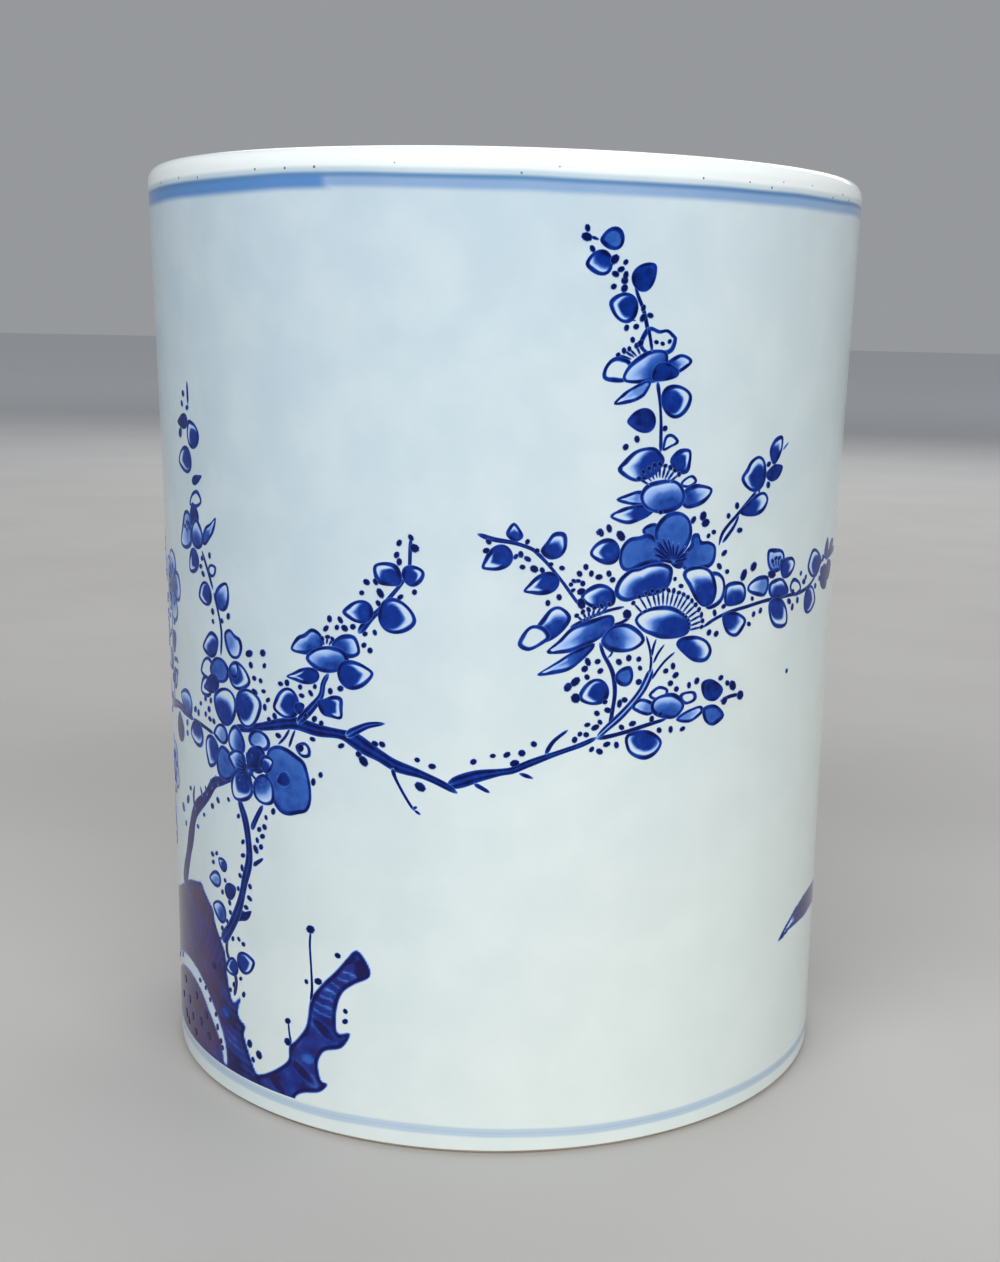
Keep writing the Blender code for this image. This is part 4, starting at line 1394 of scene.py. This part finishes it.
    def right_sprig(self) -> None:
        """The forked sprig that points up to the right."""
        brush = self.brush
        brush.stroke((52.6, 145.6, 0.6), (53.4, 148.2, 0.8), (55.2, 150.2, 0.7), (57.6, 152.2, 0.7),
                     (60.4, 154.6, 0.8), (64, 157.6, 0.8))
        brush.stroke((53.6, 146.2, 0.8), (55, 147.6, 0.8), (57, 149.8, 0.7), (58.4, 152.2, 0.6))
        brush.petal(Wash.HALF, 10, (58.6, 153), (61, 155), (64, 156.8), (66.8, 157.1), (68.3, 155.4),
                    (67, 153), (64.4, 151.9), (60.6, 152))
        brush.petal(Wash.MOON, 140, (58.5, 160.6), (60, 162.8), (61.4, 164.6), (64, 165.6), (66.1, 164.4),
                    (66.9, 161.4), (66, 158.6), (63.4, 157.4), (60.4, 158.4))
        brush.stroke((63.4, 158, 1.2), (64.6, 158.4, 1.0), (64.8, 156.8, 0.9))
        brush.petal(Wash.DARK, 40, (66.8, 161.2), (69, 163), (71, 163.4), (73.3, 162.7), (71.6, 160.2),
                    (68.8, 159.6))
        brush.petal(Wash.HALF, 60, (67.9, 167.2), (69.6, 169.4), (72.4, 169.9), (72.6, 167.2), (71.4, 164.8),
                    (69.6, 163.4), (68.2, 165))
        brush.stroke((72.8, 166.6, 0.5), (75.2, 168.4, 0.4), dark=0.6, core=0.6)
        brush.dots((67.6, 163.6, 0.6), (67.9, 158.8))

    def far_sprig(self) -> None:
        """The long sprig that runs off to the right, with its blossom and buds."""
        brush = self.brush
        brush.stroke((49, 126.8, 0.6), (52.5, 128.5, 0.7), (57, 129.8, 0.7), (62.5, 130.5, 0.7),
                     (70, 131.3, 0.8), (79.5, 131.5, 0.8), (85, 131.5, 0.8), (90, 132.3, 0.8),
                     (94, 134, 0.7), (100, 138, 0.7), (112.5, 140.5, 0.6))
        brush.petal(Wash.HALF, 90, (55, 134), (55.4, 136.2), (58, 136.9), (61, 136.2), (62.2, 134),
                    (61.4, 131.8), (58, 131.2), (55.6, 131.6))
        brush.petal(Wash.HALF, 320, (54.8, 129), (57.5, 129.8), (60.6, 129), (62.8, 127), (60, 123.8),
                    (56.4, 125))
        brush.petal(Wash.PALE, 160, (62.7, 134.4), (63.3, 136), (66.5, 137.4), (70, 137), (70.4, 134.4),
                    (69, 132.5), (65.5, 133))
        brush.petal(Wash.PALE, 90, (69.3, 142.8), (70.3, 143.6), (75, 143), (76.6, 141), (75.6, 138.4),
                    (72, 137.8), (69.8, 139.8))
        brush.petal(Wash.HALF, 10, (75.2, 138), (76, 140.5), (80, 140.8), (81.8, 139), (80, 136.5),
                    (76.8, 136))
        brush.petal(Wash.HALF, 100, (70.6, 133.6), (71, 135.4), (74, 136.2), (76.9, 135.6), (79.5, 132.4),
                    (75, 131.4), (72, 131.8))
        brush.petal(Wash.MOON, 290, (71.1, 130.5), (71.8, 127), (74, 124.5), (77.5, 123.8), (79.7, 124.8),
                    (79.2, 128), (77, 130.6), (74, 131.6))
        brush.petal(Wash.BARE, 0, (80, 133.6), (81.5, 135.5), (84.5, 134.5), (86, 132.5), (84, 131),
                    (81.4, 131.6))
        brush.stamens((73.4, 137), (71.4, 140.6), (72.7, 141.2), (74.1, 141.1), (75.2, 140.2))
        brush.petal(Wash.MOON, 150, (89.2, 137.6), (91.5, 141.3), (95, 141), (98.7, 138.5), (97.6, 135.8),
                    (95, 134.3), (91.6, 135))
        brush.bud(92, 129, 3.9, 350, Wash.MOON, 0)
        brush.violet = 0.3
        brush.bud(102.8, 133.2, 3.6, 320, Wash.DARK, 0)
        brush.bud(107.4, 134.8, 3.0, 20, Wash.DARK, 0)
        brush.bud(103.6, 140.4, 2.4, 80, Wash.DARK, 0, 0.8)
        brush.bud(109.5, 140.4, 2.6, 30, Wash.DARK, 0, 0.7)
        brush.stroke((103.6, 138, 1.8), (108, 138.6, 1.6), (116, 139.4, 1.2))
        brush.violet = Brush.violet
        brush.dots((54.3, 143.8), (53, 140.8), (55.5, 139.4), (61, 138.2, 1.0), (64.3, 139.9, 1.0),
                   (64.5, 132.3, 0.5), (55, 131.3), (52.3, 130), (50.9, 125.5), (53.1, 125), (65.3, 128.5),
                   (67.8, 129.1), (63.8, 126.3), (71.5, 137.5, 1.1), (81.5, 132), (80, 130), (81.8, 128.4),
                   (84.3, 129.8), (85.3, 136.3), (88.3, 135), (87.3, 134), (100.3, 138.5), (98.3, 133.5),
                   (95.3, 132), (99.5, 135.5))

    def stems(self) -> None:
        """The two stems that carry the blossoms down to the bough."""
        brush = self.brush
        brush.stroke((22.5, 124.8, 0.8), (23.5, 122, 0.8), (25, 119.5, 0.9), (26, 117, 0.9),
                     (26.5, 113, 0.9), (26, 108.5, 0.9), (25.5, 105, 0.9))
        brush.stroke((24, 123.4, 0.5), (25.6, 122.4, 0.5), (24.4, 121.2, 0.5))
        brush.stroke((35.6, 118.2, 1.7), (34.4, 115.4, 1.7), (33.2, 113.2, 1.7), (31, 110.5, 1.7),
                     (28, 107.5, 1.6), (25, 105, 1.4), (22.5, 102.8, 1.2), core=0.10)
        brush.stroke((33.8, 125.8, 0.5), (34.9, 122.5, 0.5), (35.3, 119.6, 0.5), (35, 117, 0.6))
        brush.stroke((38.6, 123.6, 0.4), (37, 121.6, 0.5), (35.9, 119.4, 0.5))
        brush.stroke((41.5, 121.6, 0.4), (39, 119.8, 0.5), (37, 117.6, 0.5), (35.6, 115.6, 0.5))
        brush.stroke((36.4, 125, 0.4), (35.7, 123, 0.5), (35.4, 121, 0.5))
        brush.bud(21.5, 113.3, 3.4, 200, Wash.MOON, 180, 0.9)
        brush.bud(28.8, 116.8, 2.4, 60, Wash.MID, 60)
        brush.dots((17.2, 112.2, 1.0), (17, 116, 0.9), (15.3, 114.8, 0.9), (19.8, 120.5), (22.1, 120.5),
                   (19.1, 118.9), (22.8, 118.3), (19.7, 117), (27.2, 120.2), (29.6, 121), (32.1, 120.6),
                   (32.5, 118.5), (32.3, 115.3), (41.1, 118.4), (39.2, 117.4), (41.9, 116.2), (24.1, 111.1),
                   (22.3, 108.5), (24.9, 109.1), (23.1, 106.4), (20.1, 105.9), (22, 105.2), (18.4, 103.8),
                   (19.9, 103.6), (17.2, 102.5), (27.7, 110.5), (28.9, 111.3), (28.4, 104.9), (31.1, 105.6),
                   (21.3, 100.1), (24.9, 101.1), (27.3, 100.8), (23.2, 99.5))

    def low_right_sprig(self) -> None:
        """The sprig under the blossoms, to the right of the bough's tip."""
        brush = self.brush
        brush.stroke((22.5, 102.5, 0.9), (26, 103, 0.9), (30, 103.8, 0.9), (35, 105, 0.8), (40, 106, 0.7))
        brush.petal(Wash.PALE, 160, (30.8, 109.3), (33, 111.3), (36.5, 110), (36.6, 108), (34.5, 107.3))
        brush.petal(Wash.BARE, 90, (35, 112), (37.5, 113.9), (40, 113), (39.6, 111.2), (37, 110.6))
        brush.petal(Wash.BARE, 20, (43.2, 110.6), (44, 111.8), (47.5, 111.8), (48, 109.8), (45, 109))
        brush.petal(Wash.SHADED, 90, (35.8, 110), (37.5, 111.5), (41.5, 112), (44.3, 110), (44.5, 108),
                    (42, 106), (38, 106.6), (36, 108))
        brush.petal(Wash.PALE, 0, (42.6, 105.5), (45, 107.2), (49.5, 108.2), (50.2, 106.6), (46.5, 104.6))
        brush.petal(Wash.DARK, 200, (49.5, 113.5), (52.5, 114.2), (56.2, 111.5), (54, 109), (50.6, 110))
        brush.petal(Wash.MID, 200, (50.3, 107.5), (54, 107.9), (57, 105), (53.8, 103), (51, 104.4))
        brush.petal(Wash.MOON, 250, (29.8, 103), (35, 103.7), (38.8, 101), (37.8, 98.2), (35, 96.8),
                    (32, 97.6), (30, 99.6))
        brush.stroke((55.5, 108.6, 0.8), (58.6, 109.4, 0.8), (62, 109.5, 0.7))
        brush.dots((56.8, 108.6, 0.9), (62.1, 109.3, 1.0), (81, 112.6, 0.5), (59.3, 112, 1.0), (57.5, 112.8),
                   (55.3, 114.3), (48, 114.3), (45.8, 113.5), (42.3, 112.9), (40.6, 114.4), (38.1, 103.5),
                   (41.2, 103.4), (44.5, 103.2), (36, 106.3), (38.2, 107.3))

    def leaf(self) -> None:
        """The tip of a broad leaf at the right, whose plant stands at the back."""
        edge = curve_through([(84.7, 40.8), (88, 43.2), (91.7, 45), (96.7, 46.9), (108, 48.2), (125, 46),
                              (138, 41), (150, 33), (146, 31), (133, 37), (116.7, 41.5), (103.3, 42),
                              (93.3, 42.3), (88, 41.2)], True, 1.0, 40)

        def tone(s: np.ndarray, z: np.ndarray) -> tuple[np.ndarray, np.ndarray]:
            """Returns the leaf's pigment and violet."""
            depth = inside_depth(s, z, edge)
            body = soft_step(depth, -0.35, 0.35)
            line = soft_step(-np.abs(depth - 0.4), -0.7, -0.2)
            filled = soft_step(s + 0.8 * (z - 44), 92, 98)
            streak = 0.12 * np.sin((z + 0.25 * s) * 2.6)
            pigment = body * np.maximum(line, filled * (0.84 + streak))
            # More violet towards the right edge of the front: the pigment's cast, and in part a painted
            # reflection of warm surroundings.
            return pigment, soft_step(s, 90, 100) * 0.7 * body

        self.brush.sheet((84, 30), (151, 49), 0.6, tone)

    def blossom(self, s: float, z: float, reach: float, turn: float, opened: float = 1.0) -> None:
        """Paints a whole blossom: five petals round a heart, with stamens and dots.

        Args:
            s: the way round of its heart.
            z: the height of its heart.
            reach: how far its petals reach.
            turn: the direction of its first petal, in degrees.
            opened: how open it is; under 1 its petals are flattened from above.
        """
        brush = self.brush
        washes = [Wash.SHADED, Wash.PALE, Wash.HALF, Wash.SHADED, Wash.PALE]
        for index, wash in enumerate(washes):
            way = math.radians(turn + 72 * index + brush.hand.uniform(-7, 7))
            out = reach * brush.hand.uniform(0.56, 0.64)
            heading = math.degrees(way)
            brush.bud(*away((s, z), way, out, opened), reach * 0.48, heading + 180, wash, heading, 0.90)
        brush.bud(s, z, reach * 0.15, turn, Wash.DARK, 0)
        for index in range(9):
            way = math.radians(turn + 40 * index + brush.hand.uniform(-8, 8))
            out = reach * brush.hand.uniform(0.5, 0.68)
            brush.stamens((s, z), away((s, z), way, out, opened), width=0.36)

    def sprig(self, start: Spot, heading: float, length: float, bend: float, buds: int) -> Spot:
        """Paints a sprig that bends as it grows, with buds and dots on both sides.

        Args:
            start: where it leaves its bough.
            heading: the direction in which it leaves, in degrees.
            length: its length.
            bend: how far it turns on its way, in degrees.
            buds: how many buds it carries.

        Returns:
            Its tip.
        """
        brush = self.brush
        route = [(start[0], start[1], 1.2)]
        steps = 6
        for step in range(1, steps + 1):
            way = math.radians(heading + bend * step / steps)
            route.append((*away(route[-1], way, length / steps), 1.2 - 0.6 * step / steps))
        brush.stroke(*route)
        for index in range(buds):
            share = (index + 0.8) / (buds + 0.3) * steps
            base = route[min(int(share), steps)]
            side = 1 if index % 2 else -1
            way = heading + bend * share / steps + side * brush.hand.uniform(40, 75)
            off = brush.hand.uniform(3.4, 4.6)
            wash = (Wash.MOON, Wash.HALF, Wash.DARK, Wash.SHADED)[index % 4]
            size, lean = brush.hand.uniform(2.5, 3.6), brush.hand.uniform(-40, 40)
            brush.bud(*away(base, math.radians(way), off), size, way, wash, way + lean)
            for _ in range(4):
                brush.dots((base[0] + brush.hand.uniform(-7, 7), base[1] + brush.hand.uniform(-5, 5)))
        return route[-1]

    def back(self) -> None:
        """The back of the wall: the bough goes on from the left and a second one rises from the rock."""
        brush = self.brush
        brush.petals, brush.rings = Layer.BACK_PETAL, 8
        brush.stroke((-93, 96, 1.4), (-100, 96.6, 1.8), (-106, 97, 2.0), (-116, 95.5, 2.4), (-125, 94, 2.6),
                     (-138, 96, 2.8), (-150, 101, 3.0), (-160, 103, 3.2), (-172, 100, 3.4), (-184, 94, 3.6),
                     core=0.5)
        brush.bleed = 0.8
        brush.stroke((-143, 27, 4.6), (-148, 34, 5), (-156, 45, 5.2), (-165, 58, 5), (-176, 68, 4.6),
                     (-184, 80, 4.4), (-190, 96, 4), (-202, 110, 3.4), (-218, 121, 2.8), (-236, 127, 2.2),
                     (-252, 136, 1.6), core=0.6)
        brush.bleed = Brush.bleed
        tips = [self.sprig(*plan) for plan in (((-112, 96.5), 100, 30, -30, 4), ((-128, 95), 75, 38, 30, 5),
                ((-152, 101.5), 110, 44, -45, 5), ((-170, 101), 80, 52, 25, 6), ((-190, 97), 60, 34, 40, 4),
                ((-205, 112), 120, 46, -50, 5), ((-222, 122), 95, 40, 30, 4), ((-240, 129), 150, 30, 40, 3),
                ((-176, 70), 10, 30, -60, 3), ((-196, 104), 215, 36, 40, 4), ((-216, 120), 240, 34, 30, 4),
                ((-238, 128), 260, 36, -30, 4), ((-252, 136), 170, 26, -50, 3))]
        for index, tip in enumerate(tips):
            brush.order.clear()
            reach, opened = ((8.5, 1.0), (7.4, 0.86), (9.2, 0.94))[index % 3]
            self.blossom(tip[0], tip[1] + 2, reach, 40 * index, opened)
        for s, z, reach, turn in ((-137, 116, 9.5, 20), (-163, 118, 9.0, 60), (-184, 108, 9.6, 10),
                                  (-203, 127, 8.6, 35), (-164, 84, 8.2, 5), (-118, 78, 8.0, 50),
                                  (-228, 108, 8.8, 25), (-130, 62, 7.6, 15)):
            brush.order.clear()
            self.blossom(s, z, reach, turn, 0.9)
        self.sprig((-156, 47), 150, 30, -50, 4)
        self.sprig((-126, 52), 70, 26, 40, 3)
        self.orchid()

    def orchid(self) -> None:
        """The tuft of long leaves at the right of the back, over a small stone."""
        brush = self.brush
        edge = curve_through([(146, 5), (150, 12), (158, 16), (168, 15), (176, 19), (188, 17), (196, 11),
                              (200, 5)], True, 1.0, 30)

        def tone(s: np.ndarray, z: np.ndarray) -> tuple[np.ndarray, np.ndarray]:
            """Returns the stone's pigment and violet."""
            depth = inside_depth(s, z, edge)
            body = soft_step(depth, -0.3, 0.5)
            mottle = 0.72 + 0.12 * np.sin(s * 0.5 + z * 0.4) + 0.1 * np.sin(z * 0.9 - s * 0.3)
            return body * (mottle + 0.2 * soft_step(-depth, -1.4, -0.4)), 0.5 * body

        brush.order.clear()
        brush.sheet((144, 7.1), (202, 22), 0.7, tone)
        brush.violet = 0.35
        brush.bleed = 0.8
        brush.stroke((138, 39.4, 1.6), (146, 34.6, 2.8), (153, 30, 3.2), (161, 24, 2.8), (169, 15, 1.4),
                     core=0.62)
        brush.bleed = Brush.bleed
        for route in (((138, 66, 0.5), (148, 61, 1.8), (159, 46, 2.8), (166, 30, 2.4), (170, 15, 1.3)),
                      ((168, 88, 0.4), (161, 70, 1.6), (163, 48, 2.4), (168, 30, 2.2), (171, 16, 1.2)),
                      ((194, 78, 0.4), (182, 66, 1.8), (175, 46, 2.6), (172, 28, 2.2), (172, 16, 1.2)),
                      ((216, 56, 0.4), (200, 56, 1.8), (186, 44, 2.8), (177, 30, 2.4), (173, 17, 1.3)),
                      ((226, 22, 0.4), (212, 32, 1.8), (196, 34, 2.6), (184, 28, 2.2), (175, 17, 1.3))):
            brush.stroke(*route, core=0.62)
        brush.violet = Brush.violet
        for index in range(22):
            brush.dots((150 + 2.6 * index + brush.hand.uniform(-2, 2), brush.hand.uniform(9, 24)))


# ---------------------------------------------------------------- the studio


@dataclass
class Studio:
    """The camera, the pale floor and the soft lights."""

    eye: Vector = field(default_factory=lambda: Vector((0.0, -0.45008, 0.19342)))
    pan: float = 1.914
    pitch: float = 13.17
    roll: float = 1.238
    focal: float = 47.02
    sensor: float = 36.0
    shift: Spot = (-0.0425, 0.0652)
    aim: Vector = field(default_factory=lambda: Vector((0.0, 0.0, 0.11)))
    floor_radius: float = 20.0
    floor_drop: float = 0.0002
    floor_dark: Colour = (0.465, 0.455, 0.440)
    floor_light: Colour = (0.495, 0.485, 0.470)
    floor_far_lit: Colour = (0.80, 0.82, 0.85)
    glow: Colour = (0.93, 0.96, 1.0)
    glow_strength: float = 0.33

    def camera(self) -> None:
        """Makes the camera and looks through it."""
        data = bpy.data.cameras.new("camera")
        data.sensor_width = self.sensor
        data.lens = self.focal
        data.shift_x, data.shift_y = self.shift
        data.clip_start, data.clip_end = 0.01, 50.0
        camera = bpy.data.objects.new("camera", data)
        bpy.context.scene.collection.objects.link(camera)
        pan, pitch, roll = (math.radians(angle) for angle in (self.pan, self.pitch, self.roll))
        ahead = Vector((math.sin(pan) * math.cos(pitch), math.cos(pan) * math.cos(pitch), -math.sin(pitch)))
        right = Vector((math.cos(pan), -math.sin(pan), 0.0))
        up = right.cross(ahead)
        across = math.cos(roll) * right + math.sin(roll) * up
        upward = -math.sin(roll) * right + math.cos(roll) * up
        turn = Matrix((across, upward, -ahead)).transposed()
        camera.matrix_world = Matrix.Translation(self.eye) @ turn.to_4x4()
        bpy.context.scene.camera = camera

    def floor(self) -> None:
        """Makes the pale floor, so large that every view ends at its horizon, with painted light that makes
        it lighter in the distance.
        """
        deselect()
        level = (0.0, 0.0, -self.floor_drop)
        bpy.ops.mesh.primitive_circle_add(
            vertices=96, radius=self.floor_radius, fill_type="NGON", location=level)
        floor = bpy.context.object
        floor.name = "floor"
        graph = Graph("pale_floor")
        grain = graph.ramp(graph.noise(6.0, 3.0), 0.3, 0.7)
        near = graph.mix(grain, self.floor_dark, self.floor_light)
        away = graph.node("ShaderNodeVectorMath", {0: graph.place}, operation="LENGTH").outputs["Value"]
        # Painted light: the floor grows lighter far from the pot.
        colour = graph.mix(graph.ramp(away, 0.8, 5.0), near, self.floor_far_lit)
        floor.data.materials.append(graph.shade(colour, 0.85, 0.2))

    def light(self, name: str, place: Spot, size: Spot, power: float, tint: Colour) -> None:
        """Adds a soft rectangular light that points at the middle of the pot."""
        data = bpy.data.lights.new(name, "AREA")
        data.shape = "RECTANGLE"
        data.size, data.size_y = size
        data.energy = power
        data.color = tint
        lamp = bpy.data.objects.new(name, data)
        bpy.context.scene.collection.objects.link(lamp)
        lamp.location = place
        lamp.rotation_euler = (self.aim - Vector(place)).to_track_quat("-Z", "Y").to_euler()

    def lights(self) -> None:
        """Makes the lights and the even glow of the room."""
        self.light("window", (-0.8, -1.7, 1.4), (1.4, 1.6), 29.0, (0.98, 0.99, 1.0))
        self.light("bounce", (0.85, -1.8, 1.25), (1.4, 1.2), 27.5, (1.0, 0.995, 0.98))
        self.light("behind", (0.3, 1.8, 1.5), (2.0, 1.6), 20.0, (1.0, 1.0, 1.0))
        world = bpy.data.worlds.new("room")
        world.use_nodes = True
        glow = world.node_tree.nodes["Background"]
        glow.inputs["Color"].default_value = (*self.glow, 1.0)
        glow.inputs["Strength"].default_value = self.glow_strength
        bpy.context.scene.world = world
        bpy.context.scene.view_settings.view_transform = "Standard"


def main() -> None:
    """Builds the studio, the pot and its painting."""
    logging.basicConfig(level=logging.INFO, format="%(message)s")
    studio = Studio()
    studio.camera()
    studio.floor()
    studio.lights()
    pot = PotShape.from_frame()
    glaze, cobalt = Glaze(), Cobalt()
    PotShell(pot).build(wall_material(glaze, cobalt, pot), biscuit_material(Biscuit()), base_material(glaze))
    brush = Brush(pot)
    PlumPainting(brush).paint()
    brush.finish(cobalt_material(glaze, cobalt))


if __name__ == "__main__":
    main()
